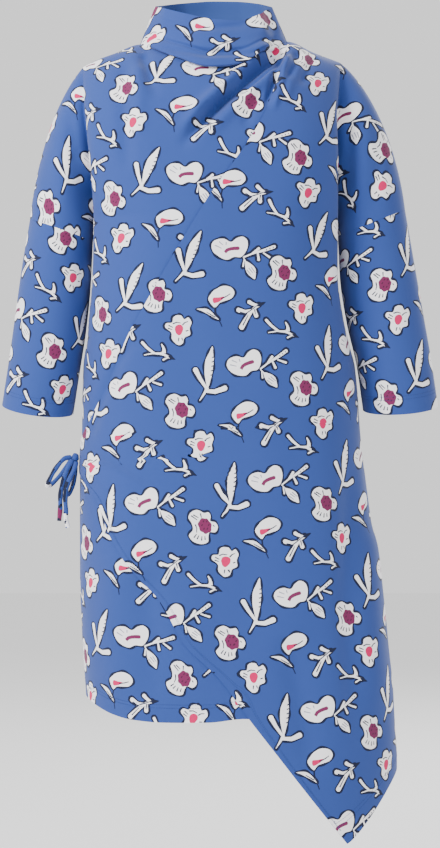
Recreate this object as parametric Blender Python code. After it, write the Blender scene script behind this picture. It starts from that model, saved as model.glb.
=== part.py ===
"""Tunic-length jersey wrap dress with a draped funnel collar, drop-shoulder sleeves and a pointed wrap hem.

The hollow, worn form is cut as a maker would cut it: an under front with the collar grown on, a wrap
front that crosses over it to a tie at the hip, a back with its own collar half, and two lower sleeves.
Metres, +Z up, the front faces -Y. The origin is at the level where the shoulders meet the neck.
"""
import functools
import math

import bmesh
import bpy
import numpy as np
from mathutils import Vector

MM = 0.001


def table(names, *rows):
    """A table of real sizes in millimetres, as one array in metres for each named column."""
    return dict(zip(names.split(), np.array(rows, float).T * MM))


# ---------------------------------------------------------------- driving dimensions
WALL = 1.5 * MM
SEAM_GAP = 0.3 * MM
LAYER_GAP = 2.0 * MM            # between the under front and the wrap front that lies on it
HIDDEN_SLACK = 5 * MM           # how far more the under front falls in where it is out of sight
EYE_DISTANCE = 4.0              # edges and folds below are laid out as they show from this far in front
EYE_HEIGHT = -0.53
ROUND_ACROSS = 2.6              # how square the body sections are
ROUND_DEEP = 2.2
FRONT_CAP = 130 * MM            # how far down the front and the back round off below the shoulder line
BACK_CAP = 95 * MM
NECK_LEFT = -112 * MM
NECK_RIGHT = 94 * MM

TORSO = table(
    "height left right front back",
    (20, -191, 168, 112, 96),
    (-31, -191, 168, 114, 101),
    (-91, -191, 168, 119, 110),
    (-157, -189, 173, 127, 116),
    (-252, -186, 175, 130, 113),
    (-320, -187, 174, 128, 108),
    (-377, -190, 180, 126, 106),
    (-441, -192, 190, 125, 106),
    (-540, -193, 196, 125, 112),
    (-632, -196, 207, 127, 120),
    (-736, -196, 221, 129, 125),
    (-820, -193, 232, 131, 127),
    (-915, -187, 242, 133, 128),
    (-1009, -184, 247, 134, 128),
    (-1130, -184, 247, 135, 128),
)
ARM_PRESS = table(              # how far each arm presses the cloth in beside the side seams
    "height left right",
    (-31, 0, 0),
    (-91, 3, 5),
    (-157, 9, 13),
    (-245, 17, 21),
    (-320, 14, 19),
    (-377, 10, 14),
    (-412, 6, 9),
    (-450, 1, 2),
    (-500, 0, 0),
)
UNDERARM_WALLS = 2.1            # how thick the seam allowances make the underarm point, in walls
PRESS_START = 0.70              # share of the width where the pressed stretch begins
SHOULDER = table(
    "across height",
    (-191, -31),
    (-168, -20),
    (-147, -12.5),
    (-112, 0),
    (94, 4),
    (130, -11),
    (168, -25),
)
NECKLINE = table(
    "across front back",
    (-112, 0, 0),
    (-88, -13, -14),
    (-56, -24, -24),
    (-14, -37, -29),
    (30, -33, -27),
    (68, -15, -17),
    (94, 4, 4),
)
ARMHOLE = table(
    "side top under front back",
    (-1, -31, -245, 52, 60),
    (1, -25, -245, 40, 60),
)
WRAP_EDGE = table(
    "height across",
    (4, 94),
    (-15, 93),
    (-36, 85),
    (-67, 73),
    (-97, 61),
    (-136, 38),
    (-209, -14),
    (-267, -50),
    (-340, -92),
    (-410, -130),
    (-476, -160),
    (-514, -178),
    (-566, -195),
    (-596, -195),
    (-637, -172),
    (-686, -154),
    (-742, -118),
    (-781, -83),
    (-839, -50),
    (-889, 0),
    (-943, 40),
    (-1001, 85),
    (-1051, 124),
    (-1118, 177),
)
HEM = table(
    "across front back",
    (-187, -907, -907),
    (-165, -920, -911),
    (-146, -928, -916),
    (-123, -933, -919),
    (-78, -936, -924),
    (-14, -935, -930),
    (34, -930, -938),
    (150, -948, -965),
    (246, -985, -1000),
)
HEM_LEVEL = -948 * MM           # where the places across of the hem are read
WRAP_SIDE_END = -1009 * MM
WRAP_HEM_BOW = 1.7              # how far the hem of the wrap's corner bows out from a straight line
WRAP_BOW_START = 8              # keeps the rows above the corner even
ARM_DROP = {-1: 0.9, 1: 0.55}   # how steeply the cloth leaves the top of each armhole
COLLAR_RIM = table(
    "across front back front_depth back_depth",
    (-91, 54, 54, 0, 0),
    (-75, 46, 62, 34, 42),
    (-44, 36, 68, 52, 62),
    (-8, 28, 71, 59, 68),
    (24, 27, 70, 54, 64),
    (55, 38, 64, 36, 44),
    (73, 53, 53, 0, 0),
)
# Rings of the collar, from the tuck where it rolls over the chest up to the rim: how far up it stands at
# the middle and at the sides, as a share, and how far it stands out there, in millimetres.
COLLAR_RINGS = (
    # middle, sides, out
    (0.00, 0.00, 0.0),
    (-0.07, 0.05, 6.5),
    (-0.03, 0.10, 10.5),
    (0.10, 0.17, 11.0),
    (0.20, 0.24, 6.5),
    (0.27, 0.31, 1.5),
    (0.36, 0.39, 4.0),
    (0.55, 0.56, 5.0),
    (0.78, 0.78, 3.0),
    (1.00, 1.00, 0.0),
)
BACK_RINGS = (
    (0.00, 0.00, 0.0),
    (0.16, 0.16, 2.0),
    (0.34, 0.34, 1.0),
    (0.56, 0.56, 3.0),
    (0.80, 0.80, 2.5),
    (1.00, 1.00, 0.0),
)
SLEEVE_LEFT = table(
    "outer_across outer_height inner_across inner_height front back dip",
    (-266, -245, -178, -276, 54, 68, 0),
    (-277, -310, -181, -338, 53, 66, 1),
    (-286, -374, -187, -398, 51, 63, 3),
    (-295, -438, -196, -457, 50, 59, 6),
    (-305, -503, -205, -516, 49, 55, 10),
)
SLEEVE_RIGHT = table(
    "outer_across outer_height inner_across inner_height front back dip",
    (259, -231, 165, -268, 54, 68, 2),
    (271, -300, 168, -328, 53, 66, 2),
    (283, -368, 177, -388, 51, 63, 3),
    (295, -436, 191, -449, 50, 59, 6),
    (305, -504, 200, -511, 49, 55, 10),
)

# Largest folds, laid out as they show from in front or from behind: ridges stand out, valleys go in.
# name, out (mm), half width (mm), points across and up (mm)
FRONT_FOLDS = (
    ("neck drape valley", -9, 9, ((95, 2), (59, -25), (28, -50), (-5, -80), (-40, -112), (-67, -147))),
    ("neck drape roll", 5, 11, ((76, -4), (42, -33), (14, -55), (-25, -80), (-60, -118))),
    ("chest fold", -4, 11, ((-132, -12), (-136, -60), (-134, -120), (-128, -190))),
    ("collar drag", -4, 8, ((-110, -8), (-103, -30), (-94, -62))),
    ("hem wave", 4, 24, ((-150, -700), (-146, -820), (-140, -940))),
    ("hem hollow", -4, 22, ((-104, -730), (-98, -840), (-92, -950))),
    ("shoulder tuck", -5, 8, ((112, -8), (104, -28), (92, -52))),
    ("shoulder pleat", -4, 7, ((134, -14), (122, -34), (112, -60))),
    ("tie drag upper", -4, 9, ((-186, -560), (-168, -500), (-140, -440), (-112, -400))),
    ("tie drag lower", -4, 10, ((-188, -582), (-140, -600), (-85, -640))),
    ("side hollow", -6, 17, ((186, -560), (184, -650), (179, -800), (188, -920), (196, -1000))),
    ("side wave", 5, 20, ((214, -660), (214, -800), (222, -960))),
    ("corner hollow", -5, 20, ((96, -820), (112, -920), (132, -1040))),
)
BACK_FOLDS = (
    ("left blade fold", -5, 20, ((-92, -150), (-96, -260), (-88, -420), (-92, -560))),
    ("right blade fold", -5, 20, ((88, -160), (92, -290), (84, -440), (90, -600))),
    ("centre wave", 4, 34, ((4, -330), (-4, -560), (6, -800), (10, -935))),
    ("left hem hollow", -6, 24, ((-104, -620), (-112, -780), (-110, -925))),
    ("right hem hollow", -6, 26, ((104, -640), (124, -800), (136, -965))),
)

# The tie: a knot on the wrap front beside the left side seam, with two loops and two tails of one string.
STRING = 6 * MM                 # width of the string
KNOT_SHARE = -0.90
KNOT_HEIGHT = -578 * MM
KNOT_SIZE = Vector((5.5, 7, 7)) * MM    # half sizes: off the panel, along it, up
KNOT_GROOVE = 0.12              # how deep the turns of string in the knot stand, as a share of its size
STRING_SEAT = 0.8 * MM          # between the knot and the end faces of the strings, which leave it aslant
STRING_STEP = 5.5 * MM          # between the points of a string's tube
# Routes from knot to end, or round and back into the knot, in millimetres from its middle: across, deep, up.
STRINGS = {
    "tie_loop_outer": (
        (-7.6, -2.6, 1), (-16, -6.5, -2), (-28, -11, -17), (-36, -8.5, -32), (-39, 2, -39.5),
        (-33.5, 11.5, -37), (-22, 14, -25), (-12, 9.5, -11), (-6.4, 4.6, -2.2),
    ),
    "tie_loop_inner": (
        (-3, 1.2, -7.6), (-6, -0.5, -18), (-10.5, -1.5, -32), (-13.5, 0.5, -44.5), (-12.5, 8.5, -52),
        (-8.5, 16, -49.5), (-4, 18.5, -38), (-0.8, 15.5, -24), (0, 10, -12), (1, 6, -5.6),
    ),
    "tie_tail_short": (
        (-4.6, -5.4, -4), (-10, -9.5, -14.5), (-15, -10.5, -28), (-18.8, -9.5, -42), (-20.4, -8, -56),
        (-20.5, -7, -70), (-22, -6, -87.5),
    ),
    "tie_tail_long": (
        (1.6, -4.6, -6.6), (-1, -8.5, -16), (-7, -11, -29), (-11.5, -10.5, -43), (-13.3, -9, -57),
        (-12.5, -7.5, -72), (-12.8, -6.5, -84), (-9.8, -6, -97),
    ),
}

# Lattice of each panel: shares of the half widths where columns run, and rows down to the hem.
SHOULDER_COLUMNS = 7
NECK_COLUMNS = 12
HIDDEN_COLUMNS = 4
HIDDEN_END = 0.62               # share of the width where the under front ends, out of sight
YOKE_ROWS = 12
UNDER_ROWS = 13
BACK_ROWS = 13
WRAP_ROWS = 26
WRAP_COLUMNS = 22
WRAP_CROWDING = 0.8             # draws its columns together towards the free edge
UPPER_SLEEVE_ROWS = 6
LOWER_SLEEVE_ROWS = 9
YOKE_CROWDING = 1.2             # crowds the rows towards the shoulder line, where the cloth turns over


# ---------------------------------------------------------------- curves
def curve_through(at, value):
    """A smooth line through table values that never swings past them."""
    order = np.argsort(at)
    at, value = at[order], value[order]
    step = np.diff(at)
    slope = np.diff(value) / step
    tangent = np.zeros_like(value)
    tangent[0], tangent[-1] = slope[0], slope[-1]
    for k in range(1, len(at) - 1):
        if slope[k - 1] * slope[k] > 0:
            tangent[k] = 2 / (1 / slope[k - 1] + 1 / slope[k])

    def read(where):
        where = min(max(where, at[0]), at[-1])
        k = min(max(int(np.searchsorted(at, where)) - 1, 0), len(step) - 1)
        t = (where - at[k]) / step[k]
        start = (1 + 2 * t) * (1 - t) ** 2 * value[k] + t * (1 - t) ** 2 * step[k] * tangent[k]
        end = t * t * (3 - 2 * t) * value[k + 1] + t * t * (t - 1) * step[k] * tangent[k + 1]
        return start + end

    return read


def ease(t):
    t = min(max(t, 0.0), 1.0)
    return t * t * (3 - 2 * t)


def mix(a, b, t):
    return a + (b - a) * t


left_side = curve_through(TORSO["height"], TORSO["left"])
right_side = curve_through(TORSO["height"], TORSO["right"])
front_depth = curve_through(TORSO["height"], TORSO["front"])
back_depth = curve_through(TORSO["height"], TORSO["back"])
arm_press = [curve_through(ARM_PRESS["height"], ARM_PRESS[side]) for side in ("left", "right")]
shoulder_line = curve_through(SHOULDER["across"], SHOULDER["height"])
front_neckline = curve_through(NECKLINE["across"], NECKLINE["front"])
back_neckline = curve_through(NECKLINE["across"], NECKLINE["back"])
wrap_edge = curve_through(WRAP_EDGE["height"], WRAP_EDGE["across"])
front_hem = curve_through(HEM["across"], HEM["front"])
back_hem = curve_through(HEM["across"], HEM["back"])


# ---------------------------------------------------------------- the body form
def armhole_bow(height, share, facing):
    """How far in front of or behind the side plane the armhole runs at this height, on the nearer side."""
    side = 0 if share < 0 else 1
    top, under = ARMHOLE["top"][side], ARMHOLE["under"][side]
    if height <= under:
        return 0.0
    bow = ARMHOLE["front" if facing < 0 else "back"][side]
    down = min(max((top - height) / (top - under), 0.0), 1.0)
    return bow * (1 - down ** 2.5) ** 0.8


def body_point(share, height, facing):
    """The body form: share runs from -1 at the left side to 1 at the right, facing is -1 front or 1 back."""
    angle = share * math.pi / 2
    across = math.copysign(abs(math.sin(angle)) ** (2 / ROUND_ACROSS), share)
    deep = max(math.cos(angle), 0.0) ** (2 / ROUND_DEEP)
    left, right = left_side(height), right_side(height)
    side = 0 if share < 0 else 1
    press = arm_press[side](height) * ease((abs(share) - PRESS_START) / (1 - PRESS_START))
    x = mix(left, right, (across + 1) / 2) - math.copysign(press, share)
    cap = FRONT_CAP if facing < 0 else BACK_CAP
    below = shoulder_line(x) - height
    down = min(below / cap, 1.0) if below > 0.01 * MM else 0.0
    rounding = math.sqrt(1 - (1 - down) ** 2)
    depth = front_depth(height) if facing < 0 else back_depth(height)
    bow = armhole_bow(height, share, facing)
    return Vector((x, facing * rounding * mix(bow, depth, deep), height))


def share_at(x, height):
    """The share at which the body form has this place across."""
    left, right = left_side(height), right_side(height)
    across = min(max(2 * (x - left) / (right - left) - 1, -1.0), 1.0)
    return math.copysign(math.asin(abs(across) ** (ROUND_ACROSS / 2)) / (math.pi / 2), across)


def shown(point):
    """Where a point shows from in front, or from the same distance behind, on the plane of the side seams."""
    near = 1 - abs(point.y) / EYE_DISTANCE
    return point.x / near, EYE_HEIGHT + (point.z - EYE_HEIGHT) / near


def place_shown(across, height):
    """The share and true height of the front point that shows at this place."""
    x, z = across, height
    for _ in range(4):
        near = 1 - abs(body_point(share_at(x, z), z, -1).y) / EYE_DISTANCE
        x, z = across * near, EYE_HEIGHT + (height - EYE_HEIGHT) * near
    return share_at(x, z), z


def line_distance(x, z, points):
    """Distance from a line of points, and how far along it the nearest place is, from 0 to 1."""
    best, along, run = 1e9, 0.0, 0.0
    lengths = [math.dist(a, b) for a, b in zip(points, points[1:])]
    for (ax, az), (bx, bz), length in zip(points, points[1:], lengths):
        t = ((x - ax) * (bx - ax) + (z - az) * (bz - az)) / length ** 2
        t = min(max(t, 0.0), 1.0)
        away = math.hypot(x - mix(ax, bx, t), z - mix(az, bz, t))
        if away < best:
            best, along = away, run + t * length
        run += length
    return best, along / run


def fold_offset(point, folds):
    """How far all folds of a panel move this point out."""
    x, z = (value / MM for value in shown(point))
    out = 0.0
    for _, height, width, points in folds:
        away, along = line_distance(x, z, points)
        fade = ease(along / 0.15) * ease((1 - along) / 0.3)
        out += height * MM * math.exp(-((away / width) ** 2)) * fade
    return out


def body_normal(share, height, facing):
    """Outward direction of the body form."""
    step = 0.004
    inside = min(max(share, -1 + step), 1 - step)
    under = height - 1.5 * MM
    a = body_point(inside - step, under, facing)
    b = body_point(inside + step, under, facing)
    c = body_point(inside, under - 2 * MM, facing)
    d = body_point(inside, under + 1 * MM, facing)
    normal = (b - a).cross(d - c)
    if normal.y * facing < 0:
        normal.negate()
    return normal.normalized()


@functools.lru_cache(maxsize=None)
def edge_share(height):
    """The share at which the free edge of the wrap front crosses this true height."""
    low, high = -1118 * MM, 4 * MM
    for _ in range(30):
        guess = (low + high) / 2
        if place_shown(wrap_edge(guess), guess)[1] < height:
            low = guess
        else:
            high = guess
    return place_shown(wrap_edge(guess), guess)[0]


def lift(share, height):
    """1 where the wrap front lies proud on the under front, 0 where both meet the back at a seam."""
    edge = edge_share(height)
    if share < edge - 0.004:
        return 1.0
    below = shoulder_line(body_point(share, height, -1).x) - height
    return ease(below / (14 * MM)) * (1 - ease((share - edge - 0.25 * (1 - edge)) / (0.75 * (1 - edge))))


def sink(share, height):
    """How far the under front lies inside the body form: nowhere where it shows, deepest out of sight."""
    edge = edge_share(height)
    below = shoulder_line(body_point(share, height, -1).x) - height
    slack = ease((share - edge) / 0.1) * ease(below / (40 * MM))
    return (1 - lift(share, height)) * (WALL + LAYER_GAP) + slack * HIDDEN_SLACK


def on_seam(point):
    return abs(point.y) < 0.01 * MM


# ---------------------------------------------------------------- walled cloth
def seam_way(vert):
    """Outward direction in the side plane, square to the seam that runs through this vertex."""
    way = Vector((0, 0, 0))
    for edge in vert.link_edges:
        other = edge.other_vert(vert)
        if edge.is_boundary and on_seam(other.co):
            run = (other.co - vert.co).normalized()
            square = Vector((run.z, 0, -run.x))
            way += square if square.dot(vert.normal) > 0 else -square
    return way


def armhole_ways(armhole):
    """Outward directions along the fold between body and sleeve: away from the opening for the arm."""
    ways = []
    last = len(armhole) - 1
    for k in range(1, last):
        run = armhole[k + 1] - armhole[k - 1]
        away = Vector((0, run.z, -run.y)).normalized()
        ways.append(away if away.y * armhole[k].y > 0 else -away)
    return ways + [Vector((math.copysign(0.32, armhole[0].x), 0, -0.95))]


def walled(name, patches, finish, facing, ends=(), armholes=()):
    """Joins patches of outer points into one panel and gives it a wall towards the inside.

    Both sides of the wall have the same triangles, so that they keep their distance where a fold twists.
    Along seams in the side plane the wall stands square to the panel, so that it meets its neighbour, and
    on each (axis, ring) in ends it stands square to the axis, where a sleeve seam is. Along the armholes,
    where the cloth folds sharply, it turns towards the opening.
    """
    bm = bmesh.new()
    known = {}

    def place(point):
        return tuple(round(value * 1e6) for value in point)

    def vert(point):
        key = place(point)
        if key not in known:
            known[key] = bm.verts.new(point)
        return known[key]

    for patch in patches:
        for upper, lower in zip(patch, patch[1:]):
            for k in range(len(upper) - 1):
                ring = [vert(p) for p in (upper[k], upper[k + 1], lower[k + 1], lower[k])]
                ring = [v for n, v in enumerate(ring) if v not in ring[:n]]
                if len(ring) > 2:
                    bm.faces.new(ring)
    bmesh.ops.triangulate(bm, faces=bm.faces, quad_method="SHORT_EDGE")
    bmesh.ops.recalc_face_normals(bm, faces=bm.faces)
    bm.normal_update()
    outer = list(bm.verts)
    edge_verts = {v for e in bm.edges if len(e.link_faces) == 1 for v in e.verts}
    wall_way = {v: v.normal.copy() for v in outer}
    thickening = {v: 1.0 for v in outer}
    for v in edge_verts:
        if facing and on_seam(v.co):
            wall_way[v] = seam_way(v)
    for armhole in armholes:
        for k, (point, way) in enumerate(zip(armhole[1:], armhole_ways(armhole))):
            v = known[place(point)]
            near_end = ease((k + 1) / (len(armhole) - 1) * 4 - 3)
            wall_way[v] = wall_way[v].normalized().lerp(way, near_end)
            thickening[v] = mix(1, UNDERARM_WALLS, near_end)
    for axis, ring in ends:
        for point in ring:
            wall_way[known[place(point)]] -= axis * wall_way[known[place(point)]].dot(axis)
    for way in wall_way.values():
        way.normalize()
    outward = sum((v.normal.y * facing for v in outer if v not in edge_verts), 0.0)
    if facing and outward < 0:
        bmesh.ops.reverse_faces(bm, faces=bm.faces)
        wall_way = {v: -way for v, way in wall_way.items()}
    faces = list(bm.faces)
    edges = [e for e in bm.edges if len(e.link_faces) == 1]
    inner = {v: bm.verts.new(v.co - wall_way[v] * thickening[v] * WALL) for v in outer}
    rims = []
    for e in edges:
        loop = e.link_loops[0]
        rims.append((loop.vert, loop.link_loop_next.vert))
    for face in faces:
        bm.faces.new([inner[v] for v in reversed(face.verts)])
    for a, b in rims:
        bm.faces.new((b, a, inner[a], inner[b]))
    for face in bm.faces:
        face.smooth = True
    mesh = bpy.data.meshes.new(name)
    shift = SEAM_GAP / 2 * facing
    for v in bm.verts:
        v.co.y += shift
    bm.to_mesh(mesh)
    bm.free()
    mesh.materials.append(finish)
    part = bpy.data.objects.new(name, mesh)
    bpy.context.scene.collection.objects.link(part)
    mesh.set_sharp_from_angle(angle=math.radians(50))
    return part


def cloth(name, colour, roughness):
    finish = bpy.data.materials.new(name)
    finish.use_nodes = True
    shader = finish.node_tree.nodes["Principled BSDF"]
    shader.inputs["Base Color"].default_value = colour
    shader.inputs["Roughness"].default_value = roughness
    shader.inputs["Metallic"].default_value = 0.0
    return finish


# ---------------------------------------------------------------- panels
def columns(counts, last=1):
    """Shares of the body's width where the columns run: left shoulder, neck, right shoulder."""
    stops = (-1, share_at(NECK_LEFT, 0), share_at(NECK_RIGHT, 0), last)
    shares = [-1.0]
    for (start, end), count in zip(zip(stops, stops[1:]), counts):
        shares += [mix(start, end, (k + 1) / count) for k in range(count)]
    return shares


def top_height(share, facing):
    """The height where a column starts: on the shoulder seam, or on the line where the collar stands."""
    x = body_point(share, 0, facing).x
    if NECK_LEFT < x < NECK_RIGHT:
        return (front_neckline if facing < 0 else back_neckline)(x)
    if abs(share) == 1:
        return ARMHOLE["top"][0 if share < 0 else 1]
    return shoulder_line(x)


def yoke_share(row):
    """How far down from the shoulder line to the underarm a row runs."""
    run = row / YOKE_ROWS
    return (1 + YOKE_CROWDING) * run ** 2 - YOKE_CROWDING * run ** 3


def yoke_height(share, row, facing):
    return mix(top_height(share, facing), ARMHOLE["under"][0], yoke_share(row))


def wrap_height(share, row, edge):
    """Height of a row of the wrap front, which hangs from the right shoulder and then from the edge."""
    if row <= YOKE_ROWS:
        top = shoulder_line(max(body_point(share, 0, -1).x, NECK_RIGHT))
        return mix(top, ARMHOLE["under"][1], yoke_share(row))
    down = (row - YOKE_ROWS) / WRAP_ROWS
    start, here, end = (body_point(s, WRAP_SIDE_END, -1).x for s in (edge, share, 1))
    bowed = ((here - start) / (end - start)) ** WRAP_HEM_BOW if share > edge else 0.0
    along = mix((share - edge) / (1 - edge), bowed, down ** WRAP_BOW_START)
    return mix(ARMHOLE["under"][1], mix(wrap_corner_height(), WRAP_SIDE_END, along), down)


def wrap_corner_height():
    return place_shown(WRAP_EDGE["across"][-1], WRAP_EDGE["height"][-1])[1]


def body_patch(shares, rows, hem, facing, shape):
    """Rows from the shoulders to the underarm, and on down to the hem."""
    patch = [[shape(s, yoke_height(s, row, facing)) for s in shares] for row in range(YOKE_ROWS + 1)]
    for row in range(1, rows + 1):
        line = []
        for s in shares:
            end = hem(body_point(s, HEM_LEVEL, facing).x)
            line.append(shape(s, mix(ARMHOLE["under"][0], end, row / rows)))
        patch.append(line)
    return patch


def collar_patch(base, rings, facing):
    """Rings from the line where the collar stands, base, up to its rim."""
    height = curve_through(COLLAR_RIM["across"], COLLAR_RIM["front" if facing < 0 else "back"])
    depth = curve_through(COLLAR_RIM["across"], COLLAR_RIM["front_depth" if facing < 0 else "back_depth"])
    first, last = COLLAR_RIM["across"][0], COLLAR_RIM["across"][-1]
    centre = Vector(((first + last) / 2, 0, 0))
    patch = []
    for up_middle, up_side, out in rings:
        line = []
        for k, start in enumerate(base):
            along = k / (len(base) - 1)
            x = mix(first, last, (1 - math.cos(math.pi * along)) / 2)
            end = Vector((x, facing * depth(x), height(x)))
            fullness = math.sin(math.pi * along) if 0 < along < 1 else 0.0
            point = start.lerp(end, mix(up_side, up_middle, fullness ** 2))
            away = (point - centre) * Vector((1, 1, 0))
            line.append(point + away.normalized() * out * MM * fullness)
        patch.append(line)
    return patch


def sleeve_ring(rows, run, facing, count):
    """Half a ring round the arm, from the over-arm seam to the under-arm seam."""
    where = np.linspace(0, 1, len(rows["front"]))
    read = {name: curve_through(where, rows[name])(run) for name in rows}
    outer = Vector((read["outer_across"], 0, read["outer_height"]))
    inner = Vector((read["inner_across"], 0, read["inner_height"]))
    centre = (outer + inner) / 2
    depth = read["front"] if facing < 0 else read["back"]
    ring = []
    for k in range(count + 1):
        angle = math.pi * k / count
        point = centre + (outer - inner) / 2 * math.cos(angle)
        point.y = facing * depth * math.sin(angle) if 0 < k < count else 0.0
        point.z += facing * read["dip"] * math.sin(angle) if 0 < k < count else 0.0
        ring.append(point)
    return ring


def arm_axis(rows):
    """The way the arm runs where the dropped sleeve seam is."""
    across = rows["outer_across"] + rows["inner_across"]
    height = rows["outer_height"] + rows["inner_height"]
    return Vector((across[1] - across[0], 0, height[1] - height[0])).normalized()


def upper_sleeve_patch(armhole, rows, side, facing):
    """Cloth from the armhole line of the body down to the dropped sleeve seam."""
    count = len(armhole) - 1
    end_ring = sleeve_ring(rows, 0, facing, count)
    axis = arm_axis(rows)
    patch = [list(armhole)]
    for row in range(1, UPPER_SLEEVE_ROWS + 1):
        t = row / UPPER_SLEEVE_ROWS
        line = []
        for k, (start, end) in enumerate(zip(armhole, end_ring)):
            angle = math.pi * k / count
            reach = (end - start).length
            swell = math.sin(angle) if 0 < k < count else 0.0
            leave = Vector((side, facing * 0.9 * swell, -ARM_DROP[side] - 0.35 * k / count))
            arrive = axis.copy()
            point = start * ((1 + 2 * t) * (1 - t) ** 2) + end * (t * t * (3 - 2 * t))
            point += leave.normalized() * reach * 0.75 * t * (1 - t) ** 2
            point += arrive * reach * 1.15 * t * t * (t - 1)
            if k in (0, count):
                point.y = 0.0
            line.append(point)
        patch.append(line)
    return patch


def front_fold(share, point):
    """How far the folds of both front layers move this point out; they fade at the side seams."""
    return fold_offset(point, FRONT_FOLDS) * ease((1 - abs(share)) / 0.1)


def front_under(finish):
    """Under front: collar front and left upper sleeve grown on; it runs on under the wrap front."""
    shares = columns((SHOULDER_COLUMNS, NECK_COLUMNS, HIDDEN_COLUMNS), HIDDEN_END)

    def shape(share, height):
        point = body_point(share, height, -1)
        if share == -1:
            return point
        if on_seam(point):
            return point - Vector((0, 0, sink(share, height)))
        return point + body_normal(share, height, -1) * (front_fold(share, point) - sink(share, height))

    body = body_patch(shares, UNDER_ROWS, front_hem, -1, shape)
    first = SHOULDER_COLUMNS
    base = body[0][first:first + NECK_COLUMNS + 1]
    collar = collar_patch(base, COLLAR_RINGS, -1)
    armhole = [line[0] for line in body[:YOKE_ROWS + 1]]
    sleeve = upper_sleeve_patch(armhole, SLEEVE_LEFT, -1, -1)
    end = (arm_axis(SLEEVE_LEFT), sleeve[-1])
    return walled("front_under", (body, collar, sleeve), finish, -1, (end,), (armhole,))


def front_wrap(finish):
    """Wrap front: right upper sleeve grown on; it crosses to the left hip and ends in a point at the hem."""
    def shape(share, height):
        point = body_point(share, height, -1)
        if share == 1 or on_seam(point) and share > 0:
            return point
        raised = lift(share, height) * (WALL + LAYER_GAP)
        return point + body_normal(share, height, -1) * (front_fold(share, point) + raised)

    patch = []
    for row in range(YOKE_ROWS + WRAP_ROWS + 1):
        edge = edge_share(wrap_height(-1, row, -1))
        shares = [mix(1, edge, (1 - k / WRAP_COLUMNS) ** WRAP_CROWDING) for k in range(WRAP_COLUMNS + 1)]
        patch.append([shape(share, wrap_height(share, row, edge)) for share in shares])
    armhole = [line[-1] for line in patch[:YOKE_ROWS + 1]]
    sleeve = upper_sleeve_patch(armhole, SLEEVE_RIGHT, 1, -1)
    end = (arm_axis(SLEEVE_RIGHT), sleeve[-1])
    return walled("front_wrap", (patch, sleeve), finish, -1, (end,), (armhole,))


def back(finish):
    """Back: collar back and the back halves of both upper sleeves grown on."""
    shares = columns((SHOULDER_COLUMNS, NECK_COLUMNS, SHOULDER_COLUMNS))

    def shape(share, height):
        point = body_point(share, height, 1)
        if abs(share) == 1 or on_seam(point):
            return point
        return point + body_normal(share, height, 1) * fold_offset(point, BACK_FOLDS)

    body = body_patch(shares, BACK_ROWS, back_hem, 1, shape)
    base = body[0][SHOULDER_COLUMNS:SHOULDER_COLUMNS + NECK_COLUMNS + 1]
    collar = collar_patch(base, BACK_RINGS, 1)
    patches = [body, collar]
    ends = []
    armholes = []
    for rows, side, column in ((SLEEVE_LEFT, -1, 0), (SLEEVE_RIGHT, 1, -1)):
        armhole = [line[column] for line in body[:YOKE_ROWS + 1]]
        sleeve = upper_sleeve_patch(armhole, rows, side, 1)
        patches.append(sleeve)
        ends.append((arm_axis(rows), sleeve[-1]))
        armholes.append(armhole)
    return walled("back", patches, finish, 1, ends, armholes)


def lower_sleeve(name, rows, finish):
    """Lower sleeve: a straight tube from the dropped seam to the hemmed cuff."""
    patch = []
    for row in range(LOWER_SLEEVE_ROWS + 1):
        run = row / LOWER_SLEEVE_ROWS
        front = sleeve_ring(rows, run, -1, YOKE_ROWS)
        rear = sleeve_ring(rows, run, 1, YOKE_ROWS)
        patch.append(front + rear[-2::-1])
    axis = arm_axis(rows)
    patch = [[point + axis * SEAM_GAP for point in line] for line in patch]
    return walled(name, (patch,), finish, 0, ((axis, patch[0][:-1]),))


# ---------------------------------------------------------------- the tie
def knot_form():
    """The knot about its own middle: a small full form with the turns of the string round it."""
    form = bmesh.new()
    bmesh.ops.create_uvsphere(form, u_segments=18, v_segments=12, radius=1)
    across_turns = Vector((0.3, 0.5, 1)).normalized()
    for v in form.verts:
        turn = math.cos(3 * math.pi * v.co.dot(across_turns))
        v.co = v.co * KNOT_SIZE * (1 - KNOT_GROOVE * (1 - turn) / 2)
    return form


def tie_knot(finish):
    """Seats the knot on the wrap front, a seam's gap clear of it, and returns its middle."""
    form = knot_form()
    out = body_normal(KNOT_SHARE, KNOT_HEIGHT, -1)
    reach = max(-v.co.dot(out) for v in form.verts)
    proud = lift(KNOT_SHARE, KNOT_HEIGHT) * (WALL + LAYER_GAP)
    middle = body_point(KNOT_SHARE, KNOT_HEIGHT, -1) + out * (proud + SEAM_GAP + reach)
    for v in form.verts:
        v.co += middle
    mesh = bpy.data.meshes.new("tie_knot")
    form.to_mesh(mesh)
    form.free()
    mesh.shade_smooth()
    mesh.materials.append(finish)
    bpy.context.scene.collection.objects.link(bpy.data.objects.new("tie_knot", mesh))
    return middle


def on_knot(offset):
    """A string's end, moved along its way from the knot's middle to its seat just off the knot."""
    way = offset.normalized()
    surface = 1 / Vector((way.x / KNOT_SIZE.x, way.y / KNOT_SIZE.y, way.z / KNOT_SIZE.z)).length
    return way * (surface + STRING_SEAT)


def smooth_route(points):
    """Even steps along a smooth curve through the route's points."""
    points = [2 * points[0] - points[1], *points, 2 * points[-1] - points[-2]]
    fine = []
    for a, b, c, d in zip(points, points[1:], points[2:], points[3:]):
        for k in range(20):
            t = k / 20
            bend = (2 * a - 5 * b + 4 * c - d) * t ** 2 + (3 * b - 3 * c + d - a) * t ** 3
            fine.append((2 * b + (c - a) * t + bend) / 2)
    fine.append(points[-2])
    run = [0.0]
    for a, b in zip(fine, fine[1:]):
        run.append(run[-1] + (b - a).length)
    count = round(run[-1] / STRING_STEP)
    even = np.linspace(0, run[-1], count + 1)
    return np.stack([np.interp(even, run, [p[axis] for p in fine]) for axis in range(3)], axis=1)


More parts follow.
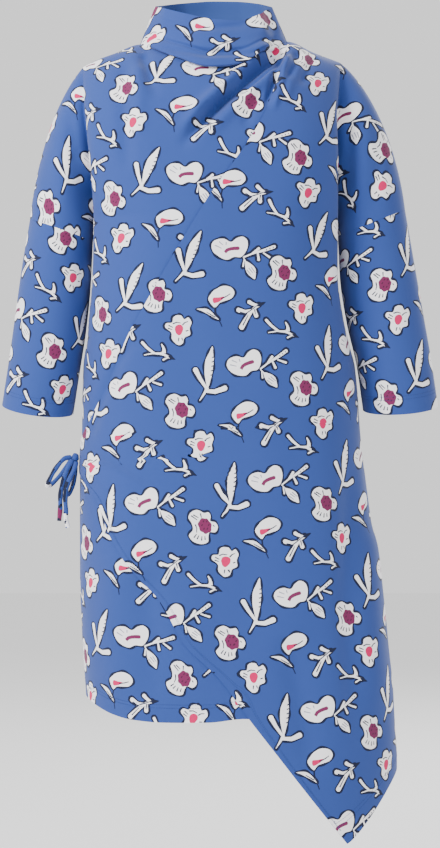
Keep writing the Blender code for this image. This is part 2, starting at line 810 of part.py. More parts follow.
def tie_string(name, middle, offsets, finish):
    """String of the tie: a tube along its route."""
    points = [Vector(offset) * MM for offset in offsets]
    points[0] = on_knot(points[0])
    if "loop" in name:
        points[-1] = on_knot(points[-1])
    route = smooth_route([middle + point for point in points])
    curve = bpy.data.curves.new(name, "CURVE")
    curve.dimensions = "3D"
    curve.bevel_depth = STRING / 2
    curve.bevel_resolution = 2
    curve.use_fill_caps = True
    spline = curve.splines.new("POLY")
    spline.points.add(len(route) - 1)
    for point, place in zip(spline.points, route):
        point.co = (*place, 1)
    curve.materials.append(finish)
    bpy.context.scene.collection.objects.link(bpy.data.objects.new(name, curve))


# ---------------------------------------------------------------- the dress
for left_over in list(bpy.data.objects):
    bpy.data.objects.remove(left_over)

jersey = cloth("printed cotton jersey", (0.089, 0.178, 0.429, 1.0), 0.85)
front_under(jersey)
front_wrap(jersey)
back(jersey)
lower_sleeve("sleeve_left", SLEEVE_LEFT, jersey)
lower_sleeve("sleeve_right", SLEEVE_RIGHT, jersey)

knot = tie_knot(jersey)
for string, offsets in STRINGS.items():
    tie_string(string, knot, offsets, jersey)
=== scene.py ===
import math

import bmesh
import bpy
import numpy as np
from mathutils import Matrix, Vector, geometry


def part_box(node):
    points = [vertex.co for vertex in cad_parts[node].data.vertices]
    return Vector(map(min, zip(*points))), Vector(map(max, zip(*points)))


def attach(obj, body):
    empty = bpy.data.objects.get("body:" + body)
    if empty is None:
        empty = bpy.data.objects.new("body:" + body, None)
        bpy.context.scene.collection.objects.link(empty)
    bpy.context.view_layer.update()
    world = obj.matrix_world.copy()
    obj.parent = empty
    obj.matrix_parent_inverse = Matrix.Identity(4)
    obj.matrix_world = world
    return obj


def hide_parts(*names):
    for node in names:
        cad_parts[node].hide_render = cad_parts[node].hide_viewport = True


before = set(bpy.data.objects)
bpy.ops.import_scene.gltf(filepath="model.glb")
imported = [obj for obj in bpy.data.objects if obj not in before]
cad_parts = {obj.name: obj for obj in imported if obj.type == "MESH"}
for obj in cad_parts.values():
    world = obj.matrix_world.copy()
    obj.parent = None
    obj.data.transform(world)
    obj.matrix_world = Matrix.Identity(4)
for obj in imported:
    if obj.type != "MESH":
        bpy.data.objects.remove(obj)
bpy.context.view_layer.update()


# ---------------------------------------------------------------- camera
# The photograph looks straight at the front from about four metres, level with the middle of the dress.
# Its whole height takes in the collar's rim and the point of the hem, with almost no margin.
MM = 0.001
EYE_DISTANCE = 4.0
EYE_HEIGHT = -0.53
PIXELS_HIGH = 848
PIXEL = 1.4                     # mm that a pixel covers on the plane of the side seams
PHOTO_HEIGHT = PIXELS_HIGH * PIXEL * MM
PHOTO_MIDDLE = (45 - PIXELS_HIGH / 2) * PIXEL * MM
SENSOR = 24.0


def added(name, data):
    """A new object of the scene, at the origin."""
    thing = bpy.data.objects.new(name, data)
    bpy.context.scene.collection.objects.link(thing)
    return thing


lens = bpy.data.cameras.new("photo camera")
lens.sensor_fit = "VERTICAL"
lens.sensor_height = SENSOR
lens.lens = SENSOR * EYE_DISTANCE / PHOTO_HEIGHT
camera = added("photo camera", lens)
camera.location = (0, -EYE_DISTANCE, PHOTO_MIDDLE)
camera.rotation_euler = (math.radians(90), 0, 0)
bpy.context.scene.camera = camera


# ---------------------------------------------------------------- back
# The back is one cut of printed jersey with its half of the collar and the back halves of both upper sleeves
# grown on. It is hemmed at the bottom and joined to both fronts in the plane of the side seams.
def table(names, *rows):
    """A table of real sizes in millimetres, as one array in metres for each named column."""
    return dict(zip(names.split(), np.array(rows, float).T * MM))


def curve_through(at, value):
    """A smooth line through table values that never swings past them."""
    order = np.argsort(at)
    at, value = at[order], value[order]
    step = np.diff(at)
    slope = np.diff(value) / step
    tangent = np.zeros_like(value)
    tangent[0], tangent[-1] = slope[0], slope[-1]
    for k in range(1, len(at) - 1):
        if slope[k - 1] * slope[k] > 0:
            tangent[k] = 2 / (1 / slope[k - 1] + 1 / slope[k])

    def read(where):
        where = np.clip(where, at[0], at[-1])
        k = np.clip(np.searchsorted(at, where) - 1, 0, len(step) - 1)
        t = (where - at[k]) / step[k]
        start = (1 + 2 * t) * (1 - t) ** 2 * value[k] + t * (1 - t) ** 2 * step[k] * tangent[k]
        end = t * t * (3 - 2 * t) * value[k + 1] + t * t * (t - 1) * step[k] * tangent[k + 1]
        return start + end

    return read


def ease(t):
    t = np.clip(t, 0.0, 1.0)
    return t * t * (3 - 2 * t)


def mix(a, b, t):
    return a + (b - a) * t


def unit(vectors):
    return vectors / np.maximum(np.linalg.norm(vectors, axis=-1, keepdims=True), 1e-9)


def run_along(points, axis=0):
    """How far along its line each point lies, from zero at the start."""
    steps = np.linalg.norm(np.diff(points, axis=axis), axis=-1)
    return np.concatenate([0 * steps.take([0], axis), np.cumsum(steps, axis=axis)], axis=axis)


TORSO = table(
    "height left right front back",
    (20, -191, 168, 112, 96),
    (-31, -191, 168, 114, 101),
    (-91, -191, 168, 119, 110),
    (-157, -189, 173, 127, 116),
    (-252, -186, 175, 130, 113),
    (-320, -187, 174, 128, 108),
    (-377, -190, 180, 126, 106),
    (-441, -192, 190, 125, 106),
    (-540, -193, 196, 125, 112),
    (-632, -196, 207, 127, 120),
    (-736, -196, 221, 129, 125),
    (-820, -193, 232, 131, 127),
    (-915, -187, 242, 133, 128),
    (-1009, -184, 247, 134, 128),
    (-1130, -184, 247, 135, 128),
)
ARM_PRESS = table(              # how far each arm presses the cloth in beside the side seams
    "height left right",
    (-31, 0, 0),
    (-91, 3, 5),
    (-157, 9, 13),
    (-245, 17, 21),
    (-320, 14, 19),
    (-377, 10, 14),
    (-412, 6, 9),
    (-450, 1, 2),
    (-500, 0, 0),
)
PRESS_START = 0.70
SHOULDER = table("across height", (-191, -31), (-168, -20), (-147, -12.5), (-112, 0), (94, 4), (130, -11),
                 (168, -25))
NECKLINE = table("across front back", (-112, 0, 0), (-88, -13, -14), (-56, -24, -24), (-14, -37, -29),
                 (30, -33, -27), (68, -15, -17), (94, 4, 4))
ARMHOLE = table("side top under front back", (-1, -31, -245, 52, 60), (1, -25, -245, 40, 60))
HEM = table("across front back", (-187, -907, -907), (-165, -920, -911), (-146, -928, -916),
            (-123, -933, -919), (-78, -936, -924), (-14, -935, -930), (34, -930, -938), (150, -948, -965),
            (246, -985, -1000))
ROUND_ACROSS = 2.6
ROUND_DEEP = 2.2
FRONT_CAP = 130 * MM
BACK_CAP = 95 * MM
NECK_LEFT = -112 * MM
NECK_RIGHT = 94 * MM
UNDERARM = -245 * MM

left_side = curve_through(TORSO["height"], TORSO["left"])
right_side = curve_through(TORSO["height"], TORSO["right"])
front_depth = curve_through(TORSO["height"], TORSO["front"])
back_depth = curve_through(TORSO["height"], TORSO["back"])
press_left = curve_through(ARM_PRESS["height"], ARM_PRESS["left"])
press_right = curve_through(ARM_PRESS["height"], ARM_PRESS["right"])
shoulder_line = curve_through(SHOULDER["across"], SHOULDER["height"])
neckline = {-1: curve_through(NECKLINE["across"], NECKLINE["front"]),
            1: curve_through(NECKLINE["across"], NECKLINE["back"])}
hem_line = {-1: curve_through(HEM["across"], HEM["front"]), 1: curve_through(HEM["across"], HEM["back"])}


def across_body(share, height):
    """Place across at a share of the body's width: -1 is the left side, 1 the right."""
    reach = np.sign(share) * np.abs(np.sin(share * math.pi / 2)) ** (2 / ROUND_ACROSS)
    bite = ease((np.abs(share) - PRESS_START) / (1 - PRESS_START))
    press = np.where(share < 0, press_left(height), press_right(height)) * bite
    return mix(left_side(height), right_side(height), (reach + 1) / 2) - np.sign(share) * press


def below_shoulder(share, height):
    return np.maximum(shoulder_line(across_body(share, height)) - height, 0)


def body_form(share, height, facing):
    """The form that the cloth takes over a body; facing is -1 for the front and 1 for the back."""
    share, height = np.broadcast_arrays(np.asarray(share, float), np.asarray(height, float))
    x = across_body(share, height)
    down = np.minimum(below_shoulder(share, height) / (FRONT_CAP if facing < 0 else BACK_CAP), 1)
    rounding = np.sqrt(1 - (1 - down) ** 2)
    side = np.where(share < 0, 0, 1)
    top, under = ARMHOLE["top"][side], ARMHOLE["under"][side]
    reach = np.clip((top - height) / (top - under), 0, 1)
    bow = ARMHOLE["front" if facing < 0 else "back"][side] * (1 - reach ** 2.5) ** 0.8
    deep = np.maximum(np.cos(share * math.pi / 2), 0) ** (2 / ROUND_DEEP)
    depth = front_depth(height) if facing < 0 else back_depth(height)
    return np.stack([x, facing * rounding * mix(bow, depth, deep), height], axis=-1)


def body_out(share, height, facing):
    """Outward direction of the body form."""
    step = 0.004
    inside = np.clip(share, -1 + step, 1 - step)
    under = height - 1.5 * MM
    across = body_form(inside + step, under, facing) - body_form(inside - step, under, facing)
    up = body_form(inside, under + 1 * MM, facing) - body_form(inside, under - 2 * MM, facing)
    out = np.cross(across, up)
    return unit(out * np.where(out[..., 1:2] * facing < 0, -1, 1))


def fold_out(points, folds):
    """How far the folds move these points out: each is a soft ridge or trough along a line as it is seen."""
    near = 1 - np.abs(points[..., 1]) / EYE_DISTANCE
    x = points[..., 0] / near / MM
    z = (EYE_HEIGHT + (points[..., 2] - EYE_HEIGHT) / near) / MM
    out = np.zeros_like(x)
    for height, width, line in folds:
        best = np.full_like(x, 1e9)
        along = np.zeros_like(x)
        run = 0.0
        for (ax, az), (bx, bz) in zip(line, line[1:]):
            length = math.hypot(bx - ax, bz - az)
            t = np.clip(((x - ax) * (bx - ax) + (z - az) * (bz - az)) / length ** 2, 0, 1)
            away = np.hypot(x - mix(ax, bx, t), z - mix(az, bz, t))
            along = np.where(away < best, run + t * length, along)
            best = np.minimum(away, best)
            run += length
        fade_in, fade_out = ease(along / run / 0.15), ease((1 - along / run) / 0.3)
        out += height * MM * np.exp(-(best / width) ** 2) * fade_in * fade_out
    return out


def ripple(points):
    """Shallow unevenness that soft jersey keeps everywhere as it hangs, in metres."""
    x, z = points[..., 0] / MM, points[..., 2] / MM
    broad = np.sin(x / 19 + 1.4 * np.sin(z / 83)) * np.sin(z / 97 + 0.8 * np.sin(x / 51))
    fine = np.sin((x + 0.5 * z) / 12.5) * np.sin((z - 0.4 * x) / 31 + 2)
    return (0.75 * broad + 0.35 * fine) * MM


def body_pattern(facing):
    """The body's cloth laid flat: from share and height to the place across and up on the cut panel."""
    shares = np.linspace(-1, 1, 241)
    heights = np.concatenate([np.arange(12, -70, -1.0), np.arange(-70, -1140, -5.0)]) * MM
    form = body_form(shares[None, :], heights[:, None], facing)
    across = run_along(form, 1)
    across -= across[:, 120:121]
    drop = np.linalg.norm(np.diff(form, axis=0), axis=2) ** 2 - np.diff(across, axis=0) ** 2
    drop = np.sqrt(np.maximum(drop, (0.3 * np.diff(heights)[:, None]) ** 2))
    up = -np.concatenate([np.zeros((1, len(shares))), np.cumsum(drop, axis=0)], axis=0)
    level = np.argmin(np.abs(heights - UNDERARM))
    up += UNDERARM - up[level:level + 1]

    def lay(share, height):
        a = np.clip((share + 1) / 2 * 240, 0, 239.999)
        b = np.clip(np.interp(-height, -heights, np.arange(len(heights))), 0, len(heights) - 1.001)
        i, j = b.astype(int), a.astype(int)
        places = []
        for sheet in (across, up):
            upper = mix(sheet[i, j], sheet[i, j + 1], a - j)
            lower = mix(sheet[i + 1, j], sheet[i + 1, j + 1], a - j)
            places.append(mix(upper, lower, b - i))
        return np.stack(places, axis=-1)

    return lay


def lattice(rows, columns):
    """Column and row numbers of every place of a lattice."""
    return np.meshgrid(np.arange(columns + 1.0), np.arange(rows + 1.0))


class Stretch:
    """A stretch of a panel: its lattice of places on the cut cloth, and the form that it has when worn."""

    def __init__(self, flat, form):
        """flat is rows of flat places; form turns column and row numbers, whole or not, into points worn."""
        self.flat, self.form = flat, form
        self.rows, self.columns = flat.shape[0] - 1, flat.shape[1] - 1

    def find(self, spots):
        """Column and row numbers of flat places, and how far each lies outside, in lattice steps."""
        rows, columns = self.rows, self.columns
        thin = self.flat[::3, ::3].reshape(-1, 2)
        width = len(range(0, columns + 1, 3))
        near = np.concatenate([
            np.argmin(((part[:, None] - thin[None]) ** 2).sum(axis=2), axis=1)
            for part in np.array_split(spots, len(spots) // 2000 + 1)
        ])
        a = (near % width) * 3.0
        b = (near // width) * 3.0
        for _ in range(14):
            j = np.clip(a.astype(int), 0, columns - 1)
            i = np.clip(b.astype(int), 0, rows - 1)
            fa, fb = (a - j)[:, None], (b - i)[:, None]
            p, q = self.flat[i, j], self.flat[i, j + 1]
            r, s = self.flat[i + 1, j], self.flat[i + 1, j + 1]
            miss = mix(mix(p, q, fa), mix(r, s, fa), fb) - spots
            da = mix(q - p, s - r, fb)
            db = mix(r - p, s - q, fa)
            area = da[:, 0] * db[:, 1] - da[:, 1] * db[:, 0]
            area = np.where(np.abs(area) < 1e-12, 1e-12, area)
            a = a - np.clip((miss[:, 0] * db[:, 1] - miss[:, 1] * db[:, 0]) / area, -3, 3)
            b = b - np.clip((da[:, 0] * miss[:, 1] - da[:, 1] * miss[:, 0]) / area, -3, 3)
            a = np.clip(a, -2, columns + 2)
            b = np.clip(b, -2, rows + 2)
        outside = np.maximum(np.maximum(-a, a - columns), np.maximum(-b, b - rows))
        outside = np.maximum(outside, 0) + np.linalg.norm(miss, axis=1) / MM
        return np.clip(a, 0, columns), np.clip(b, 0, rows), outside

    def out(self, column, row):
        """Direction square to the cloth, from small steps along columns and rows."""
        step = 0.2
        a0, a1 = np.clip(column - step, 0, self.columns), np.clip(column + step, 0, self.columns)
        b0, b1 = np.clip(row - step, 0, self.rows), np.clip(row + step, 0, self.rows)
        across = self.form(a1, row) - self.form(a0, row)
        return unit(np.cross(self.form(column, b1) - self.form(column, b0), across))


WRAP_EDGE = table(
    "height across",
    (4, 94), (-15, 93), (-36, 85), (-67, 73), (-97, 61), (-136, 38), (-209, -14), (-267, -50), (-340, -92),
    (-410, -130), (-476, -160), (-514, -178), (-566, -195), (-596, -195), (-637, -172), (-686, -154),
    (-742, -118), (-781, -83), (-839, -50), (-889, 0), (-943, 40), (-1001, 85), (-1051, 124), (-1118, 177),
)
wrap_edge = curve_through(WRAP_EDGE["height"], WRAP_EDGE["across"])


def share_at(x, height):
    left, right = left_side(height), right_side(height)
    across = np.clip(2 * (x - left) / (right - left) - 1, -1, 1)
    return np.sign(across) * np.arcsin(np.abs(across) ** (ROUND_ACROSS / 2)) / (math.pi / 2)


def place_shown(across, height):
    """The share and true height of the front point that shows at this place from the camera."""
    x, z = across, height
    for _ in range(4):
        near = 1 - np.abs(body_form(share_at(x, z), z, -1)[..., 1]) / EYE_DISTANCE
        x, z = across * near, EYE_HEIGHT + (height - EYE_HEIGHT) * near
    return share_at(x, z), z


edge_guesses = np.linspace(-1118, 4, 600) * MM
edge_shares, edge_heights = place_shown(wrap_edge(edge_guesses), edge_guesses)


def edge_share(height):
    """The share at which the free edge of the wrap front crosses this height."""
    return np.interp(height, edge_heights, edge_shares)


# Columns and rows of the cloth every 3 to 5 mm; the yoke's rows crowd where the cloth turns over.
SHOULDER_COLUMNS = 24
NECK_COLUMNS = 64
YOKE_ROWS = 72
BODY_ROWS = 140
COLLAR_ROWS = 44
SLEEVE_ROWS = 26
YOKE_CROWDING = 1.2
NECK_STOPS = (share_at(NECK_LEFT, 0.0), share_at(NECK_RIGHT, 0.0))


def yoke_share(row):
    run = row / YOKE_ROWS
    return (1 + YOKE_CROWDING) * run ** 2 - YOKE_CROWDING * run ** 3


def body_stretch(facing, last, columns_last, worn, lay):
    """The body from the shoulder line and neckline to the hem, out to the share given as last."""
    marks = np.cumsum([0, SHOULDER_COLUMNS, NECK_COLUMNS, columns_last])
    stops = (-1, *NECK_STOPS, last)

    def place(column, row):
        share = np.interp(column, marks, stops)
        x = body_form(share, 0.0, facing)[..., 0]
        on_neck = (x > NECK_LEFT) & (x < NECK_RIGHT)
        top = np.where(on_neck, neckline[facing](x), shoulder_line(x))
        end = hem_line[facing](body_form(share, -948 * MM, facing)[..., 0])
        upper = mix(top, UNDERARM, yoke_share(np.minimum(row, YOKE_ROWS)))
        lower = mix(UNDERARM, end, np.maximum(row - YOKE_ROWS, 0) / BODY_ROWS)
        return share, np.where(row <= YOKE_ROWS, upper, lower)

    flat = lay(*place(*lattice(YOKE_ROWS + BODY_ROWS, int(marks[-1]))))
    return Stretch(flat, lambda column, row: worn(*place(column, row)))


COLLAR_RIM = table(
    "across front back front_depth back_depth",
    (-91, 54, 54, 0, 0),
    (-75, 46, 62, 34, 42),
    (-44, 36, 68, 52, 62),
    (-8, 28, 71, 59, 68),
    (24, 27, 70, 54, 64),
    (55, 38, 64, 36, 44),
    (73, 53, 53, 0, 0),
)
BACK_RINGS = table(             # share up at the middle and at the sides, in thousandths, and how far out
    "middle sides out",
    (0, 0, 0),
    (160, 160, 2),
    (340, 340, 1),
    (560, 560, 3),
    (800, 800, 2.5),
    (1000, 1000, 0),
)


def collar_stretch(body, rings, facing, folds):
    """The half collar that grows from the body's neckline up to its rim."""
    height = curve_through(COLLAR_RIM["across"], COLLAR_RIM["front" if facing < 0 else "back"])
    depth = curve_through(COLLAR_RIM["across"], COLLAR_RIM["front_depth" if facing < 0 else "back_depth"])
    first, last = COLLAR_RIM["across"][0], COLLAR_RIM["across"][-1]
    ring_numbers = np.arange(len(rings["out"])) * 1.0
    read = {name: curve_through(ring_numbers, rings[name]) for name in rings}

    def form(column, row):
        start = body.form(column + SHOULDER_COLUMNS, 0.0 * row)
        along = np.clip(column / NECK_COLUMNS, 0, 1)
        x = mix(first, last, (1 - np.cos(math.pi * along)) / 2)
        end = np.stack([x, facing * depth(x), height(x)], axis=-1)
        fullness = np.sin(math.pi * along)
        ring = row / COLLAR_ROWS * ring_numbers[-1]
        up = mix(read["sides"](ring), read["middle"](ring), fullness ** 2)[..., None]
        point = mix(start, end, up)
        away = (point - np.array([(first + last) / 2, 0, 0])) * np.array([1, 1, 0])
        full = read["out"](ring) * fullness + fold_out(point, folds) * np.maximum(fullness, 0) ** 0.5
        return point + unit(away) * full[..., None]

    rise = run_along(form(*lattice(COLLAR_ROWS, NECK_COLUMNS)))
    base = body.flat[0, SHOULDER_COLUMNS:SHOULDER_COLUMNS + NECK_COLUMNS + 1]
    return Stretch(base + np.stack([0 * rise, rise], axis=-1), form)


SLEEVE_LEFT = table(
    "outer_across outer_height inner_across inner_height front back dip",
    (-266, -245, -178, -276, 54, 68, 0),
    (-277, -310, -181, -338, 53, 66, 1),
    (-286, -374, -187, -398, 51, 63, 3),
    (-295, -438, -196, -457, 50, 59, 6),
    (-305, -503, -205, -516, 49, 55, 10),
)
SLEEVE_RIGHT = table(
    "outer_across outer_height inner_across inner_height front back dip",
    (259, -231, 165, -268, 54, 68, 2),
    (271, -300, 168, -328, 53, 66, 2),
    (283, -368, 177, -388, 51, 63, 3),
    (295, -436, 191, -449, 50, 59, 6),
    (305, -504, 200, -511, 49, 55, 10),
)


def ring_point(rows, run, angle, facing):
    """A point of the lower sleeve: angle 0 is on the over-arm line and pi under the arm."""
    run, angle = np.broadcast_arrays(run, angle)
    where = np.linspace(0, 1, len(rows["front"]))
    read = {name: curve_through(where, rows[name])(run) for name in rows}
    outer = np.stack([read["outer_across"], 0 * run, read["outer_height"]], axis=-1)
    inner = np.stack([read["inner_across"], 0 * run, read["inner_height"]], axis=-1)
    depth = np.where(facing < 0, read["front"], read["back"])
    point = (outer + inner) / 2 + (outer - inner) / 2 * np.cos(angle)[..., None]
    point[..., 1] = facing * depth * np.sin(angle)
    point[..., 2] += facing * read["dip"] * np.sin(angle)
    return point


ARM_DROP = {-1: 1.12, 1: 0.78}   # how steeply the cloth leaves the top of each armhole


def arm_axis(rows):
    across = rows["outer_across"] + rows["inner_across"]
    height = rows["outer_height"] + rows["inner_height"]
    return unit(np.array([across[1] - across[0], 0, height[1] - height[0]]))


def upper_sleeve_stretch(body, column, rows, side, facing, folds):
    """The kimono half sleeve that grows from the body at the armhole line, down to the dropped seam."""
    axis = arm_axis(rows)

    def form(k, row):
        t = (row / SLEEVE_ROWS)[..., None]
        start = body.form(0 * k + column, k)
        angle = math.pi * k / YOKE_ROWS
        end = ring_point(rows, 0.0, angle, facing)
        reach = np.linalg.norm(end - start, axis=-1, keepdims=True)
        swell = np.where(k < YOKE_ROWS, np.sin(angle), 0)
        drop = -ARM_DROP[side] - 0.35 * k / YOKE_ROWS
        leave = unit(np.stack([0 * k + side, facing * 0.9 * swell, drop], axis=-1))
        point = start * ((1 + 2 * t) * (1 - t) ** 2) + end * (t * t * (3 - 2 * t))
        point = point + leave * reach * 0.75 * t * (1 - t) ** 2 + axis * reach * 1.15 * t * t * (t - 1)
        seam = (k <= 0) | (k >= YOKE_ROWS)
        point[..., 1] = np.where(seam, 0, point[..., 1])
        out = (fold_out(point, folds) + ripple(point)) * np.abs(np.sin(angle)) ** 0.5 * ease(t[..., 0] / 0.25)
        return point + np.stack([0 * out, facing * out, 0 * out], axis=-1)

    k = np.arange(YOKE_ROWS + 1.0)
    over = form(np.zeros(SLEEVE_ROWS + 1), np.arange(SLEEVE_ROWS + 1.0))
    under = form(np.full(SLEEVE_ROWS + 1, YOKE_ROWS + 0.0), np.arange(SLEEVE_ROWS + 1.0))
    ring = form(k, np.full_like(k, SLEEVE_ROWS))
    over, under, half = (np.linalg.norm(np.diff(line, axis=0), axis=1).sum() for line in (over, under, ring))
    armhole = body.flat[:YOKE_ROWS + 1, column]
    way = -1 if armhole[0, 0] < body.flat[0, body.columns // 2, 0] else 1
    best = None
    for slope in np.radians(np.arange(10, 80, 0.25)):
        outer = armhole[0] + over * np.array([way * math.cos(slope), -math.sin(slope)])
        inner = outer + half * np.array([-way * math.sin(slope), -math.cos(slope)])
        miss = abs(math.dist(inner, armhole[-1]) - max(under, 30 * MM))
        if best is None or miss < best[0]:
            best = miss, outer, inner
    even = (k / YOKE_ROWS)[:, None]
    seam = mix(best[1], best[2], even)
    run = (np.arange(SLEEVE_ROWS + 1.0) / SLEEVE_ROWS)[:, None, None]
    return Stretch(mix(armhole, seam, run), form)


# The jersey is printed with white flowers, leaves and twigs drawn in navy on blue, all growing upwards.
# The drawings are own ones of the kinds of flowers that show; the print is laid into the cloth itself.
def linear(code):
    """A printed sRGB colour as the linear one that the materials take."""
    parts = [int(code[k:k + 2], 16) / 255 for k in (1, 3, 5)]
    return tuple(c / 12.92 if c < 0.04045 else ((c + 0.055) / 1.055) ** 2.4 for c in parts) + (1.0,)


LINE = 2.3                      # width of the drawn navy outlines, mm
INSET = 0.45                    # how far the line also runs in over the white, mm
DRAW_STEP = 2.0                 # distance between the points of drawn lines, mm


def eased(a, b, c, d, t):
    """A point of the smooth line from b to c, a share t of the way, that comes from a and goes on to d."""
    bend = (2 * a - 5 * b + 4 * c - d) * t ** 2 + (3 * b - 3 * c + d - a) * t ** 3
    return (2 * b + (c - a) * t + bend) / 2


def area_in(line):
    """The area inside a closed flat line, below zero where it runs clockwise."""
    x, y = line.T
    return (x * np.roll(y, -1) - np.roll(x, -1) * y).sum() / 2


def rounded(points):
    """A closed smooth line through points in mm, counter-clockwise."""
    points = np.array(points, float)
    count = len(points)
    line = []
    for k in range(count):
        a, b, c, d = (points[(k + n) % count] for n in (-1, 0, 1, 2))
        steps = max(int(math.dist(b, c) / DRAW_STEP), 1)
        line += [eased(a, b, c, d, t) for t in np.arange(steps) / steps]
    line = np.array(line)
    return line if area_in(line) > 0 else line[::-1]


def grown(line, by):
    """A closed line moved out by about this many mm, uneven as a drawn outline is."""
    run = unit(np.roll(line, -1, axis=0) - np.roll(line, 1, axis=0))
    wave = by * (1 + 0.3 * np.sin(np.arange(len(line)) * 0.7 + line[0, 0]))
    return line + np.stack([run[:, 1], -run[:, 0]], axis=1) * wave[:, None]


def stroke(points, start, end):
    """A drawn line through points, its width in mm going from start to end."""
    points = np.array(points, float)
    run = run_along(points)
    steps = max(int(run[-1] / (2 * DRAW_STEP)), 1)
    where = np.linspace(0, run[-1], steps + 1)
    line = np.stack([np.interp(where, run, points[:, n]) for n in (0, 1)], axis=1)
    way = unit(np.gradient(line, axis=0))
    side = np.stack([-way[:, 1], way[:, 0]], axis=1)
    width = mix(start, end, where / run[-1])[:, None] / 2
    return np.concatenate([line - side * width, (line + side * width)[::-1]])


def limb(points, start, end):
    """A finger-like twig or leaf from its narrow start to its round end."""
    points = np.array(points, float)
    way = points[-1] - points[-2]
    way = way / np.hypot(*way)
    side = np.array([-way[1], way[0]])
    tip = [points[-1] + way * end * out + side * end * over
           for out, over in ((0.3, -0.38), (0.45, 0), (0.3, 0.38))]
    ring = stroke(points, start, end)
    half = len(ring) // 2
    return np.concatenate([ring[:half], tip, ring[half:]])


def leaf(base, tip, width, bend=0.0):
    """A slim pointed leaf from its base to its tip."""
    base, tip = np.array(base, float), np.array(tip, float)
    way = tip - base
    side = np.array([-way[1], way[0]]) / np.hypot(*way)
    belly = ((0.3, 0.7, 0.4), (0.6, 1, 0.5), (0.85, 0.5, 0.25))
    lower, upper = ([base + way * t + side * (bend * s + sign * width * h) for t, s, h in belly]
                    for sign in (-1, 1))
    return rounded([base, *lower, tip, *upper[::-1]])


def inked(*whites):
    """White shapes drawn as one, in a common navy outline."""
    lines = [("navy", grown(white, LINE)) for white in whites]
    return lines + [("white", grown(white, -INSET)) for white in whites]


def ink(*lines):
    """Thin navy brush strokes."""
    return [("navy", stroke(line, 1.8, 1.1)) for line in lines]


def blot(across, up, wide, high, waves):
    """A round, uneven dab of colour."""
    turn = np.arange(0, 2 * math.pi, 0.2)
    size = 1 + 0.06 * np.sin(waves * turn) + 0.07 * np.sin(2 * turn + wide)
    return np.stack([across + wide * size * np.cos(turn), up + high * size * np.sin(turn)], axis=1)


def star_flower():
    petals = rounded(((-1, 20), (-7, 17), (-9, 10), (-17, 9), (-19, 3), (-11, -4), (-11, -13), (-3, -21),
                      (4, -19), (7, -11), (15, -7), (15, 2), (18, 10), (14, 17), (8, 14), (5, 19)))
    marks = inked(petals) + [("pink", blot(0, 0, 5.8, 7, 3))]
    return marks + ink(((-8, 8), (-3, 10), (3, 9)), ((5, 6), (9, 10), (13, 11)), ((-14, 6), (-8, 3)),
                       ((-15, 2), (-9, 0)), ((-1, -11), (-2, -16)), ((3, -11), (4, -15)), ((9, -2), (13, -1)))


def purple_flower():
    petals = rounded(((-18, 12), (-14, 20), (-5, 23), (4, 19), (10, 20), (13, 14), (12, 8), (19, 6), (22, -1),
                      (18, -8), (10, -8), (8, -14), (7, -21), (-2, -24), (-13, -21), (-19, -12), (-13, -4),
                      (-14, 4)))
    marks = inked(petals) + [("purple", blot(4, 1, 8.8, 11, 7))]
    for n in range(6):
        spot = np.array((4 + 4.6 * math.cos(n * 1.05), 1 + 5.8 * math.sin(n * 1.05)))
        marks.append(("plum", stroke((spot, spot + (1.5, 2.4)), 1.6, 1.2)))
    return marks + ink(((-14, 15), (-6, 9)), ((-1, 18), (0, 12)), ((-8, -17), (-5, -12)),
                       ((-2, -19), (-1, -13)), ((15, 2), (17, 0)), ((-9, 3), (-7, -3), (-8, -8)),
                       ((-11, 16), (-4, 12)), ((3, -18), (3, -13)), ((-12, -15), (-8, -10)))


def heart_bloom():
    petals = rounded(((-23, -2), (-19, 6), (-9, 10), (1, 8), (7, 15), (15, 19), (23, 15), (25, 4), (21, -8),
                      (11, -11), (3, -17), (-10, -16), (-19, -10)))
    twig = (limb(((23, -8), (35, 1), (47, 8), (60, 17)), 2.4, 5.4), limb(((33, 0), (40, 9)), 3, 4.4),
            limb(((40, 3), (44, -6)), 3, 4.4), limb(((47, 5), (59, 1)), 2.6, 3.8))
    seed_leaf = (limb(((23, -8), (29, -14)), 2, 2.6), leaf((27, -12), (46, -33), 13, 1),
                 limb(((25, -11), (26, -20)), 2, 3))
    marks = inked(*twig, *seed_leaf, petals)
    marks.append(("purple", limb(((-3, -8), (0, -3), (6, 0), (13, 2)), 4.4, 5)))
    for line in (((-18, -2), (-9, -4)), ((-15, 4), (-8, 1)), ((-5, 6), (-4, 2)), ((34, -20), (41, -25)),
                 ((32, -23), (39, -28)), ((37, -18), (44, -24))):
        marks.append(("grey", stroke(line, 1.5, 1)))
    for up in (0, 4, 8):
        marks += ink(((50 + up, 10.5 + up * 0.7), (51.5 + up, 9.5 + up * 0.7)))
    return marks


def calla():
    petals = rounded(((-19, -6), (-15, 1), (-9, 7), (1, 12), (12, 10), (17, 3), (13, -5), (4, -9), (-5, -12),
                      (-10, -18), (-16, -13)))
    marks = [("navy", stroke(((-10, -16), (-10, -25), (-3, -44)), 2.6, 1.4))]
    marks += inked(leaf((-6, -35), (-36, -20), 6.5, -4), petals) + ink(((-10, -31), (-22, -24)))
    marks.append(("pink", rounded(((-11, -12), (-12, -5), (-5, -4), (3, -3), (-2, -8)))))
    return marks + ink(((-2, -6), (5, -3), (11, 1)))


def rounded_sprig():
    marks = inked(limb(((3, 6), (-4, -4), (-12, -17)), 5, 7.6), limb(((4, 6), (-6, 4), (-15, 7)), 5, 7),
                  limb(((11, 13), (5, 15), (0, 18)), 4, 6), limb(((6, 9), (9, -1)), 5, 6.4),
                  limb(((0, 2), (7, 10), (14, 14)), 5, 4))
    marks.append(("navy", leaf((10, 12), (23, 18), 4.5)))
    return marks + ink(((-13, 4), (-5, 2), (4, 8), (12, 14)), ((-10, -14), (-2, 0)), ((7, 8), (8, 1)))


